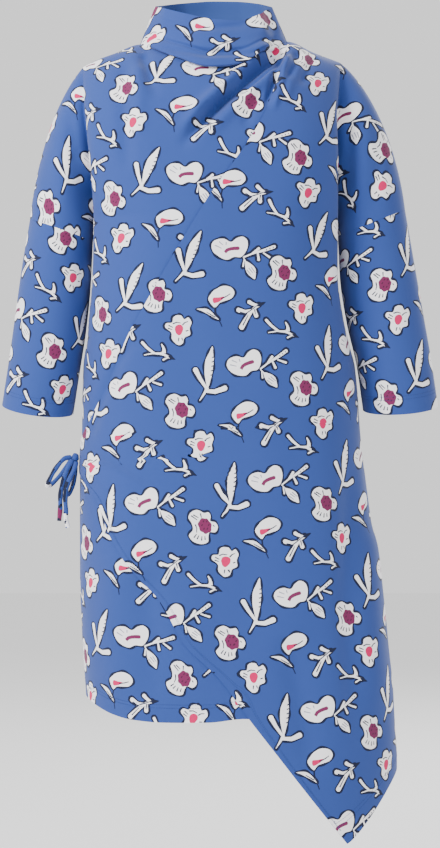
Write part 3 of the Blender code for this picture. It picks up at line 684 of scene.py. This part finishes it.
def antler_twig():
    marks = inked(limb(((-4, -3), (-13, 4), (-20, 12)), 3.6, 4.8),
                  limb(((10, -4), (-6, -3), (-18, -5)), 4.4, 2), limb(((9, -3), (10, 3), (7, 9)), 6.4, 2.6),
                  limb(((4, -3), (12, -6), (17, -9)), 4, 3.4), limb(((16, -8), (8, -12)), 2.6, 3))
    marks.append(("navy", leaf((14, -7), (25, -12), 4)))
    return marks


def three_leaves():
    marks = inked(limb(((-9, -22), (-18, -8), (-24, 4)), 4, 7.6),
                  limb(((-11, -25), (3, -26), (15, -21)), 5, 8),
                  limb(((-8, -20), (-13, -29), (-19, -38)), 5, 1.8), leaf((-8, -22), (1, 36), 12.5, 2))
    for up in (-4, 2, 8, 14, 20):
        marks += ink(((-3 + up / 8, up), (1 + up / 8, up + 2)))
    return marks


MOTIFS = (                      # right and up from the heart-shaped bloom, mm
    (three_leaves(), -40.7, -12.5),
    (antler_twig(), 79.4, -110.6),
    (calla(), 1.5, -63.8),
    (rounded_sprig(), 37.3, -91.9),
    (heart_bloom(), 0, 0),
    (purple_flower(), 82.5, -34.2),
    (star_flower(), 111.3, -81.7),
)
REPEAT = np.array(((24.4, -157.4), (170.9, 29.8)))


def turned(line, degrees):
    """Flat points turned clockwise round (0, 0)."""
    c, s = math.cos(math.radians(degrees)), math.sin(math.radians(degrees))
    return line @ np.array(((c, -s), (s, c)))


def printed(outline, start, turn, lean):
    """All drawn shapes that fall on a cut outline (mm), in order of laying, with one bloom at start.

    The print is turned by turn degrees clockwise, and leans over to the right above the height lean.
    """
    low, high = outline.min(axis=0), outline.max(axis=0)
    shapes = []
    for i in range(-12, 13):
        for j in range(-12, 13):
            for marks, right, up in MOTIFS:
                centre = np.array(start) + turned(i * REPEAT[0] + j * REPEAT[1] + (right, up), turn)
                over = 0.0 if lean is None else float(ease((centre[1] - lean) / 90))
                centre = centre + (0.3 * over * (centre[1] - (lean or 0) - 30), 0)
                if (centre > low - 60).all() and (centre < high + 60).all():
                    shapes += [(colour, turned(line, turn + 17 * over) + centre) for colour, line in marks]
    return shapes


def jersey_finish(name, colour):
    """Matt cotton jersey: the knit's fine loops soften the light, and a sheen of fibres lifts the edges."""
    finish = bpy.data.materials.new("cotton jersey, " + name)
    finish.use_nodes = True
    shader = finish.node_tree.nodes["Principled BSDF"]
    shader.inputs["Base Color"].default_value = linear(colour)
    shader.inputs["Roughness"].default_value = 0.82
    shader.inputs["Specular IOR Level"].default_value = 0.25
    shader.inputs["Sheen Weight"].default_value = 0.12
    shader.inputs["Sheen Roughness"].default_value = 0.5
    return finish


# The blue ground, the inks of the print, the paler wrong side of the cloth, and the hems' thread.
COLOURS = {"blue": "#2B4489", "navy": "#0E1633", "white": "#F4F2F5", "pink": "#C8155A", "purple": "#6E1F4C",
           "plum": "#431633", "grey": "#8B8D9E", "reverse": "#365192", "thread": "#1C346F"}
SURFACES = {name: jersey_finish(name, colour) for name, colour in COLOURS.items()}
ORDER = list(COLOURS)
CLOTH = 1.2 * MM


def chain(*lines):
    """Joins border lines into one outline without repeated points."""
    points = [p for line in lines for p in line]
    kept = [points[0]]
    for p in points[1:]:
        if math.dist(p, kept[-1]) > 1e-5:
            kept.append(p)
    if math.dist(kept[0], kept[-1]) <= 1e-5:
        kept.pop()
    return np.array(kept)


def triangles_of(points, creases, faces):
    """Constrained triangles of flat points in mm, and for each the last of the faces it lies in."""
    places, _, tris, starts, _, owners = geometry.delaunay_2d_cdt(
        [Vector(p) for p in points], creases, [list(f) for f in faces], 1, 1e-4)
    kept = [(tri, max(own)) for tri, own in zip(tris, owners) if 0 in own and len(tri) == 3]
    used = sorted({v for tri, _ in kept for v in tri})
    renumber = {v: n for n, v in enumerate(used)}
    triangles = np.array([[renumber[v] for v in tri] for tri, _ in kept])
    return np.array([places[v] for v in used]), triangles, np.array([top for _, top in kept])


def worn_places(stretches, flat, triangles):
    """Points worn and outward directions for places on the cut cloth (mm), whose triangles face outwards."""
    spots = flat * MM
    found = [stretch.find(spots) for stretch in stretches]
    outside = np.stack([f[2] for f in found])
    owner = outside.argmin(axis=0)
    place = np.zeros((len(spots), 3))
    for n, (stretch, (a, b, _)) in enumerate(zip(stretches, found)):
        mine = owner == n
        place[mine] = stretch.form(a[mine], b[mine])
    corners = place[triangles]
    facing = np.cross(corners[:, 1] - corners[:, 0], corners[:, 2] - corners[:, 0])
    rough = np.zeros((len(spots), 3))
    for corner in range(3):
        np.add.at(rough, triangles[:, corner], facing)
    out = np.zeros((len(spots), 3))
    for n, (stretch, (a, b, away)) in enumerate(zip(stretches, found)):
        near = (away < outside.min(axis=0) + 0.05) & (away < 0.1) | (owner == n)
        direction = stretch.out(a[near], b[near])
        out[near] += np.where((direction * rough[near]).sum(axis=1, keepdims=True) < 0, -direction, direction)
    return place, unit(out)


def with_creases(points, creases):
    """All flat points in one array, and the edges along the creases that come last in it."""
    count = sum(len(p) for p in points)
    edges = []
    for crease in creases:
        edges += [(count + k, count + k + 1) for k in range(len(crease) - 1)]
        count += len(crease)
    return np.concatenate([*points, *creases]), edges


def rim_of(triangles):
    """The points round the open border of a mesh, in order."""
    pairs = np.concatenate([triangles[:, [0, 1]], triangles[:, [1, 2]], triangles[:, [2, 0]]])
    both = {(int(a), int(b)) for a, b in pairs}
    following = {a: b for a, b in both if (b, a) not in both}
    rim = [next(iter(following))]
    while following.get(rim[-1]) not in (rim[0], None) and len(rim) < len(following):
        rim.append(following[rim[-1]])
    return rim


def panel(node, stretches, outline, creases, start, turn=0, lean=None):
    """A cut panel as a printed thin shell; outline and creases are lines of flat places in metres."""
    outline = outline * 1000
    if area_in(outline) < 0:
        outline = outline[::-1]
    points = [outline, np.concatenate([s.flat.reshape(-1, 2) for s in stretches]) * 1000]
    count = sum(len(p) for p in points)
    faces, colours = [range(len(outline))], ["blue"]
    for colour, line in printed(outline, start, turn, lean):
        faces.append(range(count, count + len(line)))
        points.append(line)
        colours.append(colour)
        count += len(line)
    flat, triangles, top = triangles_of(*with_creases(points, [line * 1000 for line in creases]), faces)
    place, out = worn_places(stretches, flat, triangles)

    # The plain inner side starts from the rim's points, in order; a strip of faces joins both sides there.
    rim = rim_of(triangles)
    points = [flat[rim]] + [s.flat[1:-1, 1:-1].reshape(-1, 2) * 1000 for s in stretches]
    inner_flat, inner_triangles, _ = triangles_of(
        *with_creases(points, [line[1:-1] * 1000 for line in creases]), [range(len(rim))])
    inner_place, inner_out = worn_places(stretches, inner_flat, inner_triangles)
    shift = len(flat)
    below = [int(((inner_flat - flat[v]) ** 2).sum(axis=1).argmin()) + shift for v in rim]
    ends = zip(rim, rim[1:] + rim[:1], below, below[1:] + below[:1])
    strip = [(w, v, a, b) for v, w, a, b in ends if a != b]

    mesh = bpy.data.meshes.new(node + "_cloth")
    loops = [*triangles, *(inner_triangles[:, ::-1] + shift), *strip]
    places = np.concatenate([place, inner_place - inner_out * CLOTH])
    mesh.from_pydata(places.tolist(), [], [tuple(int(v) for v in face) for face in loops])
    for colour in ORDER:
        mesh.materials.append(SURFACES[colour])
    numbers = [ORDER.index(colours[t]) for t in top]
    numbers += [ORDER.index("reverse")] * len(inner_triangles) + [0] * len(strip)
    mesh.polygons.foreach_set("material_index", numbers)
    mesh.shade_smooth()
    mesh.normals_split_custom_set_from_vertices(np.concatenate([out, -inner_out]).tolist())
    low, high = outline.min(axis=0), outline.max(axis=0)
    plan = (np.concatenate([flat, inner_flat]) - low) / max(high - low) * (0.49, 0.98)
    plan[shift:, 0] += 0.5
    layer = mesh.uv_layers.new(name="OFBake")
    corners = np.zeros(len(mesh.loops), int)
    mesh.loops.foreach_get("vertex_index", corners)
    layer.data.foreach_set("uv", plan[corners].ravel())

    piece = added(node + "_cloth", mesh)
    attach(piece, "root")
    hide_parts(node)


def place_along(stretch, columns, rows, spacing):
    """Points, ways and outward directions at even steps along a line of columns and rows of a stretch."""
    fine = np.linspace(0, len(columns) - 1, 12 * len(columns))
    a = np.interp(fine, range(len(columns)), columns)
    b = np.interp(fine, range(len(rows)), rows)
    line = stretch.form(a, b)
    run = run_along(line)
    where = np.arange(spacing / 2, run[-1] - spacing / 2, spacing)
    a, b = np.interp(where, run, a), np.interp(where, run, b)
    points = stretch.form(a, b)
    return points, unit(np.gradient(points, axis=0)), stretch.out(a, b)


THREAD = 0.5 * MM


def stitching(name, rows):
    """Rows of small thread stitches as one mesh; each row has a stretch, columns, rows and outward sign."""
    places, faces = [], []
    for stretch, columns, lines, sign in rows:
        points, ways, outs = place_along(stretch, columns, lines, 3.6 * MM)
        outs = outs * sign
        sides = np.cross(ways, outs)
        for point, way, out, side in zip(points, ways, outs, sides):
            first = len(places)
            for along in (-1.3 * MM, 1.3 * MM):
                for over, up in ((-0.5, -0.3), (-0.35, 0.35), (0.35, 0.35), (0.5, -0.3)):
                    places.append(point + way * along + side * over * THREAD + out * up * THREAD)
            for n in range(4):
                m = (n + 1) % 4
                faces.append((first + n, first + m, first + 4 + m, first + 4 + n))
            faces += [(first + 3, first + 2, first + 1, first), (first + 4, first + 5, first + 6, first + 7)]
    mesh = bpy.data.meshes.new(name)
    mesh.from_pydata(np.array(places).tolist(), [], faces)
    mesh.materials.append(SURFACES["thread"])
    stitches = added(name, mesh)
    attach(stitches, "root")


# Folds of the back: broad hollows below the shoulder blades and at the hem, as cloth this wide hangs.
BACK_FOLDS = (                  # out (mm), half width (mm), points across and up (mm)
    (-5, 20, ((-92, -150), (-96, -260), (-88, -420), (-92, -560))),
    (-5, 20, ((88, -160), (92, -290), (84, -440), (90, -600))),
    (4, 34, ((4, -330), (-4, -560), (6, -800), (10, -935))),
    (-6, 24, ((-104, -620), (-112, -780), (-110, -925))),
    (-6, 26, ((104, -640), (124, -800), (136, -965))),
    (-2.5, 9, ((-128, -30), (-122, -90), (-132, -170))),
    (-2.2, 10, ((112, -26), (106, -90), (114, -160))),
    (2.0, 12, ((-30, -60), (-34, -130), (-28, -200))),
    (-2.0, 14, ((44, -70), (40, -140), (46, -230))),
)


def inner_fade(share, point):
    """Folds fade at the side seams and at the shoulder seams, which hold the cloth."""
    below = shoulder_line(point[..., 0]) - point[..., 2]
    return ease((1 - np.abs(share)) / 0.1) * ease(below / (14 * MM))


def worn_back(share, height):
    point = body_form(share, height, 1)
    out = (fold_out(point, BACK_FOLDS) + ripple(point)) * inner_fade(share, point)
    return point + body_out(share, height, 1) * out[..., None]


lay_back = body_pattern(1)


def lay_behind(share, height):
    """The back's cut seen from behind, so that its print isn't mirrored."""
    return lay_back(share, height) * (-1, 1)


back_body = body_stretch(1, 1, SHOULDER_COLUMNS, worn_back, lay_behind)
BACK_COLLAR_FOLDS = (
    (-2, 7, ((-70, 30), (-20, 22), (30, 24), (66, 34))),
    (1.8, 8, ((-60, 8), (0, 0), (52, 10))),
)
back_collar = collar_stretch(back_body, BACK_RINGS, 1, BACK_COLLAR_FOLDS)
back_left = upper_sleeve_stretch(back_body, 0, SLEEVE_LEFT, -1, 1, (
    (-3, 11, ((-226, -110), (-206, -170), (-190, -236))),
    (2.5, 12, ((-246, -140), (-232, -210), (-222, -252))),
))
back_right = upper_sleeve_stretch(back_body, back_body.columns, SLEEVE_RIGHT, 1, 1, (
    (-3, 10, ((204, -106), (192, -170), (178, -232))),
    (2.2, 12, ((234, -130), (222, -190), (214, -240))),
))


def up_to_shoulder(body, sleeve):
    """Border lines from the hem up the right side seam and round the right sleeve to the shoulder."""
    return body.flat[YOKE_ROWS:, -1][::-1], sleeve.flat[:, -1], sleeve.flat[-1][::-1], sleeve.flat[:, 0][::-1]


def down_to_hem(body, collar, sleeve):
    """Border lines from the right shoulder over the collar and the left sleeve down to the hem."""
    return (
        body.flat[0, SHOULDER_COLUMNS + NECK_COLUMNS:][::-1],
        collar.flat[:, -1], collar.flat[-1][::-1], collar.flat[:, 0][::-1],
        body.flat[0, :SHOULDER_COLUMNS + 1][::-1],
        sleeve.flat[:, 0], sleeve.flat[-1], sleeve.flat[:, -1][::-1],
        body.flat[YOKE_ROWS:, 0],
    )


panel(
    "back",
    (back_body, back_collar, back_left, back_right),
    chain(back_body.flat[-1], *up_to_shoulder(back_body, back_right),
          *down_to_hem(back_body, back_collar, back_left)),
    (back_body.flat[:YOKE_ROWS + 1, 0], back_body.flat[:YOKE_ROWS + 1, -1], back_collar.flat[0]),
    (20, -300),
)


# ---------------------------------------------------------------- under front
# The under front is cut in one with the draped front of the collar and the front half of one upper sleeve.
# The soft funnel collar folds over itself at the chest, and its drape pulls into the shoulder on the right.
WRAP_RISE = 1.9 * MM            # the wrap front lies this far out on the under front
HIDDEN_SLACK = 5 * MM
HIDDEN_END = 0.62               # share of the width where the under front ends, out of sight
HIDDEN_COLUMNS = 20
FRONT_FOLDS = (                 # out (mm), half width (mm), points across and up (mm) as they show
    (-14, 8.6, ((95, 2), (62, -24), (33, -50), (0, -82), (-34, -114), (-60, -150))),
    (-5, 4.5, ((97, 4), (62, -25), (30, -50), (-2, -80), (-30, -104))),
    (10, 9.5, ((78, -2), (44, -28), (12, -54), (-25, -84), (-62, -126))),
    (5, 9, ((104, -12), (68, -42), (36, -70), (2, -104), (-30, -140))),
    (-8, 4, ((97, 0), (76, -27), (57, -44), (34, -62), (12, -80))),
    (-8, 4.4, ((90, -10), (80, -32), (73, -56), (62, -92))),
    (6, 5, ((99, -12), (90, -36), (83, -62), (73, -96))),
    (4, 7, ((112, -20), (98, -52), (88, -88))),
    (-3.5, 8, ((62, -58), (44, -92), (30, -120))),
    (-5, 11, ((-132, -12), (-136, -60), (-134, -120), (-128, -190))),
    (3, 11, ((-112, -20), (-112, -70), (-116, -130))),
    (-3, 9, ((-110, 6), (-96, -46), (-88, -80))),
    (-4, 8, ((-110, -8), (-103, -30), (-94, -62))),
    (4, 24, ((-150, -700), (-146, -820), (-140, -940))),
    (-4, 22, ((-104, -730), (-98, -840), (-92, -950))),
    (-5, 8, ((112, -8), (104, -28), (92, -52))),
    (-4, 7, ((134, -14), (122, -34), (112, -60))),
    (-4, 9, ((-186, -560), (-168, -500), (-140, -440), (-112, -400))),
    (-4, 10, ((-188, -582), (-140, -600), (-85, -640))),
    (-6, 17, ((186, -560), (184, -650), (179, -800), (188, -920), (196, -1000))),
    (5, 20, ((214, -660), (214, -800), (222, -960))),
    (-5, 20, ((96, -820), (112, -920), (132, -1040))),
)


def lift(share, height):
    """1 where the wrap front lies proud on the under front, 0 where both meet the back at a seam."""
    edge = edge_share(height)
    flat_out = ease(below_shoulder(share, height) / (14 * MM))
    drawn_in = 1 - ease((share - edge - 0.25 * (1 - edge)) / (0.75 * (1 - edge)))
    return np.where(share < edge - 0.004, 1.0, flat_out * drawn_in)


def worn_under(share, height):
    point = body_form(share, height, -1)
    slack = ease((share - edge_share(height)) / 0.1) * ease(below_shoulder(share, height) / (40 * MM))
    out = (fold_out(point, FRONT_FOLDS) + ripple(point)) * inner_fade(share, point)
    out = out - (1 - lift(share, height)) * WRAP_RISE - slack * HIDDEN_SLACK
    return point + body_out(share, height, -1) * np.where(share <= -1, 0, out)[..., None]


lay_front = body_pattern(-1)
COLLAR_RINGS = table(           # share up at the middle and at the sides, in thousandths, and how far out
    "middle sides out",
    (0, 0, 0),
    (-80, 50, 7.5),
    (-45, 95, 12.5),
    (90, 165, 13),
    (200, 240, 8),
    (270, 310, 2),
    (360, 390, 4.5),
    (550, 560, 5),
    (780, 780, 3),
    (1000, 1000, 0),
)
under_body = body_stretch(-1, HIDDEN_END, HIDDEN_COLUMNS, worn_under, lay_front)
COLLAR_FOLDS = (
    (-6, 4.5, ((-84, 0), (-56, -8), (-21, -15), (28, -14), (59, -7), (86, 6))),
    (2.5, 6, ((-80, 10), (-50, 3), (-10, -3), (36, -2), (66, 6), (84, 14))),
    (-3.4, 5, ((-92, 36), (-40, 22), (28, 27), (66, 40))),
    (-3, 5, ((64, 52), (70, 30), (84, 12))),
    (2.5, 6, ((52, 44), (58, 20), (76, 2))),
    (-2, 6, ((-86, 30), (-80, 12), (-88, -4))),
)
under_collar = collar_stretch(under_body, COLLAR_RINGS, -1, COLLAR_FOLDS)
LEFT_ARM_FOLDS = (
    (-3.5, 10, ((-214, -80), (-206, -140), (-190, -210), (-182, -262))),
    (2.5, 11, ((-236, -110), (-226, -170), (-214, -240))),
    (-2, 8, ((-250, -170), (-240, -214), (-236, -252))),
)
under_sleeve = upper_sleeve_stretch(under_body, 0, SLEEVE_LEFT, -1, -1, LEFT_ARM_FOLDS)


def bloom_start(across, height):
    """Flat place (mm) of a print's heart-shaped bloom that shows at this place on the front."""
    return lay_front(*place_shown(across * MM, height * MM)) * 1000


panel(
    "front_under",
    (under_body, under_collar, under_sleeve),
    chain(under_body.flat[-1], under_body.flat[:, -1][::-1],
          *down_to_hem(under_body, under_collar, under_sleeve)),
    (under_body.flat[:YOKE_ROWS + 1, 0], under_collar.flat[0]),
    bloom_start(-52, -178),
    turn=18,
)


# ---------------------------------------------------------------- wrap front
# The wrap front carries the other upper sleeve and crosses the body to the tie at the hip. Its free edge is
# turned and stitched, and runs on below the tie in a long slant to the point of the hem.
WRAP_ROWS = 160
WRAP_COLUMNS = 100
WRAP_CROWDING = 0.8
WRAP_SIDE_END = -1009 * MM
WRAP_HEM_BOW = 1.25             # how far the hem of the wrap's corner bows out from a straight line
WRAP_BOW_START = 8              # keeps the rows above the corner even
corner_height = float(place_shown(WRAP_EDGE["across"][-1], WRAP_EDGE["height"][-1])[1])


def wrap_place(column, row):
    """Share and height of a place of the wrap front: column 0 runs down its free edge."""
    on_yoke = row <= YOKE_ROWS
    yoke = yoke_share(np.minimum(row, YOKE_ROWS))
    down = np.maximum(row - YOKE_ROWS, 0) / WRAP_ROWS
    free_edge = np.where(on_yoke, mix(shoulder_line(NECK_RIGHT), UNDERARM, yoke),
                         mix(UNDERARM, corner_height, down))
    edge = edge_share(free_edge)
    share = mix(1, edge, np.clip(1 - column / WRAP_COLUMNS, 0, 1) ** WRAP_CROWDING)
    top = shoulder_line(np.maximum(body_form(share, 0.0, -1)[..., 0], NECK_RIGHT))
    start, here, end = (body_form(s, WRAP_SIDE_END, -1)[..., 0] for s in (edge, share, 1.0))
    bowed = np.clip((here - start) / (end - start), 0, 1) ** WRAP_HEM_BOW
    along = mix((share - edge) / (1 - edge), bowed, down ** WRAP_BOW_START)
    lower = mix(UNDERARM, mix(corner_height, WRAP_SIDE_END, along), down)
    return share, np.where(on_yoke, mix(top, UNDERARM, yoke), lower)


def worn_wrap(share, height):
    point = body_form(share, height, -1)
    out = (fold_out(point, FRONT_FOLDS) + ripple(point)) * inner_fade(share, point)
    out = out + lift(share, height) * WRAP_RISE
    return point + body_out(share, height, -1) * np.where(share >= 1, 0, out)[..., None]


wrap_flat = lay_front(*wrap_place(*lattice(YOKE_ROWS + WRAP_ROWS, WRAP_COLUMNS)))
wrap_body = Stretch(wrap_flat, lambda column, row: worn_wrap(*wrap_place(column, row)))
RIGHT_ARM_FOLDS = (
    (-3.5, 9, ((186, -90), (182, -150), (176, -210), (168, -256))),
    (2.5, 10, ((206, -96), (202, -160), (196, -230))),
    (-2.2, 8, ((226, -120), (222, -180), (214, -236))),
)
wrap_sleeve = upper_sleeve_stretch(wrap_body, WRAP_COLUMNS, SLEEVE_RIGHT, 1, -1, RIGHT_ARM_FOLDS)
panel(
    "front_wrap",
    (wrap_body, wrap_sleeve),
    chain(wrap_body.flat[-1], *up_to_shoulder(wrap_body, wrap_sleeve), wrap_body.flat[0][::-1],
          wrap_body.flat[:, 0]),
    (wrap_body.flat[:YOKE_ROWS + 1, -1],),
    bloom_start(32.1, -445.6),
    lean=-360,
)


# ---------------------------------------------------------------- lower sleeves
# Each lower sleeve is a straight tube of the same jersey, sewn on at the dropped seam and hemmed at the cuff.
TUBE_COLUMNS = 96
TUBE_ROWS = 54


def tube_stretch(rows, side):
    """A lower sleeve laid open along its under-arm seam, seen from outside."""
    def form(column, row):
        turn = (column / TUBE_COLUMNS * 2 - 1) * math.pi
        facing = np.where(turn * side < 0, -1, 1)
        point = ring_point(rows, row / TUBE_ROWS, np.abs(turn), facing)
        sewn_in = 0.8 * MM * np.exp(-(row / 0.8) ** 2)
        out = (ripple(point) * ease(row / 4) - sewn_in) * facing
        point[..., 1] += out * np.abs(np.sin(turn)) ** 0.5
        return point

    nodes = form(*lattice(TUBE_ROWS, TUBE_COLUMNS))
    across = run_along(nodes, 1)
    across -= across[:, TUBE_COLUMNS // 2:TUBE_COLUMNS // 2 + 1]
    down = run_along(nodes[:, TUBE_COLUMNS // 2])
    return Stretch(np.stack([across, np.broadcast_to(-down[:, None], across.shape)], axis=-1), form)


tubes = {}
for name, rows, side, start, turn in (("sleeve_left", SLEEVE_LEFT, -1, (12.6, -125.4), 7.4),
                                      ("sleeve_right", SLEEVE_RIGHT, 1, (-153.8, -39.6), 15)):
    tube = tubes[name] = tube_stretch(rows, side)
    outline = chain(tube.flat[-1], tube.flat[:, -1][::-1], tube.flat[0][::-1], tube.flat[:, 0])
    panel(name, (tube,), outline, (), start, turn)


# ---------------------------------------------------------------- hem stitching
# Hems and cuffs are turned up once and coverstitched in two rows of matching thread, as is the wrap's edge.
across_back = np.arange(back_body.columns + 1.0)
across_under = np.arange(under_body.columns + 1.0)
across_wrap = np.arange(WRAP_COLUMNS + 1.0)
round_tube = np.arange(TUBE_COLUMNS + 1.0)
HEM_ROWS = (4.0, 4.9)           # rows up from the edge, of about 5 mm each
hem_lines = []
for up in HEM_ROWS:
    hem_lines.append((back_body, across_back, 0 * across_back + back_body.rows - up, -1))
    hem_lines.append((under_body, across_under, 0 * across_under + under_body.rows - up, 1))
    for name in tubes:
        hem_lines.append((tubes[name], round_tube, 0 * round_tube + TUBE_ROWS - up, 1))
    down_edge = np.arange(YOKE_ROWS + 60.0, wrap_body.rows - 2)
    hem_lines.append((wrap_body, 0 * down_edge + up * 0.6, down_edge, 1))
    hem_lines.append((wrap_body, across_wrap[3:], 0 * across_wrap[3:] + wrap_body.rows - up, 1))
stitching("hem_stitches", hem_lines)


# ---------------------------------------------------------------- tie
# The wrap is closed at the hip by narrow jersey strings, tied in a bow with two loops and two free tails.
STRING = 6 * MM
STRING_STEP = 2 * MM
STRING_SIDES = 14
STRING_SEAT = 0.8 * MM
KNOT_SIZE = Vector((5.5, 7, 7)) * MM
STRINGS = {                     # millimetres from the knot's middle: across, deep, up
    "tie_loop_outer": (
        (-7.6, -2.6, 1), (-16, -6.5, -2), (-28, -11, -17), (-36, -8.5, -32), (-39, 2, -39.5),
        (-33.5, 11.5, -37), (-22, 14, -25), (-12, 9.5, -11), (-6.4, 4.6, -2.2),
    ),
    "tie_loop_inner": (
        (-3, 1.2, -7.6), (-6, -0.5, -18), (-10.5, -1.5, -32), (-13.5, 0.5, -44.5), (-12.5, 8.5, -52),
        (-8.5, 16, -49.5), (-4, 18.5, -38), (-0.8, 15.5, -24), (0, 10, -12), (1, 6, -5.6),
    ),
    "tie_tail_short": (
        (-4.6, -5.4, -4), (-10, -9.5, -14.5), (-15, -10.5, -28), (-18.8, -9.5, -42), (-20.4, -8, -56),
        (-20.5, -7, -70), (-22, -6, -87.5),
    ),
    "tie_tail_long": (
        (1.6, -4.6, -6.6), (-1, -8.5, -16), (-7, -11, -29), (-11.5, -10.5, -43), (-13.3, -9, -57),
        (-12.5, -7.5, -72), (-12.8, -6.5, -84), (-9.8, -6, -97),
    ),
}
# What the print leaves on each string: colour, start and end along it, and whether all round or on one side.
STRING_MARKS = {
    "tie_loop_outer": ((1, 0.12, 0.40, False), (1, 0.40, 0.44, True), (2, 0.44, 0.56, True),
                       (1, 0.56, 0.59, True)),
    "tie_loop_inner": ((1, 0.02, 0.20, True), (1, 0.20, 0.44, False), (1, 0.50, 0.80, False)),
    "tie_tail_short": ((1, 0.28, 0.66, False), (1, 0.74, 0.78, True), (3, 0.80, 0.96, True),
                       (1, 0.96, 1, True)),
    "tie_tail_long": ((1, 0.30, 0.60, False), (1, 0.77, 0.80, True), (2, 0.80, 0.99, True),
                      (1, 0.88, 0.92, False)),
}
low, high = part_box("tie_knot")
knot_middle = (Vector(low) + Vector(high)) / 2


def smooth_route(points):
    points = [2 * points[0] - points[1], *points, 2 * points[-1] - points[-2]]
    fine = []
    for a, b, c, d in zip(points, points[1:], points[2:], points[3:]):
        fine += [eased(a, b, c, d, k / 20) for k in range(20)]
    fine.append(points[-2])
    run = [0.0]
    for a, b in zip(fine, fine[1:]):
        run.append(run[-1] + (b - a).length)
    even = np.linspace(0, run[-1], round(run[-1] / STRING_STEP) + 1)
    return np.stack([np.interp(even, run, [p[axis] for p in fine]) for axis in range(3)], axis=1), run[-1]


def on_knot(offset):
    way = offset.normalized()
    surface = 1 / Vector((way.x / KNOT_SIZE.x, way.y / KNOT_SIZE.y, way.z / KNOT_SIZE.z)).length
    return way * (surface + STRING_SEAT)


def string_mesh(name, route, marks):
    """A narrow tube of jersey: soft, a little flattened, with closed ends."""
    bm = bmesh.new()
    ways = unit(np.gradient(route, axis=0))
    side = Vector(ways[0]).cross(Vector((0, 1, 0))).normalized()
    rings = []
    for k, (point, way) in enumerate(zip(route, ways)):
        way = Vector(way)
        side = (side - way * side.dot(way)).normalized()
        other = way.cross(side)
        ring = []
        for n in range(STRING_SIDES):
            angle = 2 * math.pi * n / STRING_SIDES
            wide = 1 + 0.08 * math.sin(k * 0.55)
            spread = side * math.cos(angle) * 1.1 * wide + other * math.sin(angle) * 0.9
            ring.append(bm.verts.new(Vector(point) + spread * STRING / 2))
        rings.append(ring)
    for a, b in zip(rings, rings[1:]):
        for n in range(STRING_SIDES):
            m = (n + 1) % STRING_SIDES
            bm.faces.new((a[n], a[m], b[m], b[n]))
    bm.faces.new(rings[0][::-1])
    bm.faces.new(rings[-1])
    bmesh.ops.recalc_face_normals(bm, faces=bm.faces)
    mesh = bpy.data.meshes.new(name)
    bm.to_mesh(mesh)
    bm.free()
    mesh.shade_smooth()
    mesh.set_sharp_from_angle(angle=math.radians(60))
    for colour in ("blue", "navy", "white", "purple"):
        mesh.materials.append(SURFACES[colour])
    along = np.array([face.center for face in mesh.polygons])
    nearest = ((along[:, None] - route[None]) ** 2).sum(axis=2).argmin(axis=1) / (len(route) - 1)
    low_side = (along[:, 0] - route[(nearest * (len(route) - 1)).astype(int), 0]) < 0
    for face, where, side_on in zip(mesh.polygons, nearest, low_side):
        for colour, start, end, either in marks:
            if start <= where <= end and (either or side_on):
                face.material_index = colour
    return added(name, mesh)


knot_form = bmesh.new()
bmesh.ops.create_uvsphere(knot_form, u_segments=48, v_segments=32, radius=1)
across_turns = Vector((0.3, 0.5, 1)).normalized()
for v in knot_form.verts:
    turn = math.cos(3 * math.pi * v.co.dot(across_turns))
    v.co = knot_middle + v.co * KNOT_SIZE * (1 - 0.12 * (1 - turn) / 2)
knot_mesh = bpy.data.meshes.new("tie_knot_cloth")
knot_form.to_mesh(knot_mesh)
knot_form.free()
knot_mesh.shade_smooth()
knot_mesh.materials.append(SURFACES["blue"])
knot = added("tie_knot_cloth", knot_mesh)
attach(knot, "root")
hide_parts("tie_knot")

for name, offsets in STRINGS.items():
    points = [Vector(offset) * MM for offset in offsets]
    points[0] = on_knot(points[0])
    if "loop" in name:
        points[-1] = on_knot(points[-1])
    route, length = smooth_route([knot_middle + point for point in points])
    string = string_mesh(name + "_cloth", route, STRING_MARKS[name])
    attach(string, "root")
    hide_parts(name)


# ---------------------------------------------------------------- floor and light
# The photo is cut out on white; the dress stands clear above a plain pale floor in soft studio light.
FLOOR_HEIGHT = -1.3
FLOOR_REACH = 9
floor_mesh = bpy.data.meshes.new("floor")
corners = [(x * FLOOR_REACH, y * FLOOR_REACH, FLOOR_HEIGHT) for x, y in ((-1, -1), (1, -1), (1, 1), (-1, 1))]
floor_mesh.from_pydata(corners, [], [(0, 1, 2, 3)])
floor = added("floor", floor_mesh)
paper = bpy.data.materials.new("matt white studio paper")
paper.use_nodes = True
matt = paper.node_tree.nodes["Principled BSDF"].inputs
matt["Base Color"].default_value = linear("#F4F4F4")
matt["Roughness"].default_value = 0.9
floor_mesh.materials.append(paper)


def softbox(name, place, aim, size, power):
    light = bpy.data.lights.new(name, "AREA")
    light.shape = "RECTANGLE"
    light.size, light.size_y = size
    light.energy = power
    lamp = added(name, light)
    lamp.location = place
    lamp.rotation_euler = (Vector(aim) - Vector(place)).to_track_quat("-Z", "Y").to_euler()


softbox("key softbox", (-1.75, -1.5, 0.95), (0, 0, -0.3), (0.8, 0.8), 96)
softbox("fill softbox", (1.2, -3.2, 0.6), (0, 0, -0.5), (1.8, 1.8), 16)
softbox("back softbox", (1.6, 2.8, 1.4), (0, 0, -0.5), (1.6, 2.0), 90)

world = bpy.data.worlds.new("white studio")
world.use_nodes = True
sky = world.node_tree.nodes["Background"].inputs
sky["Color"].default_value = (1, 1, 1, 1)
sky["Strength"].default_value = 1.15
bpy.context.scene.world = world
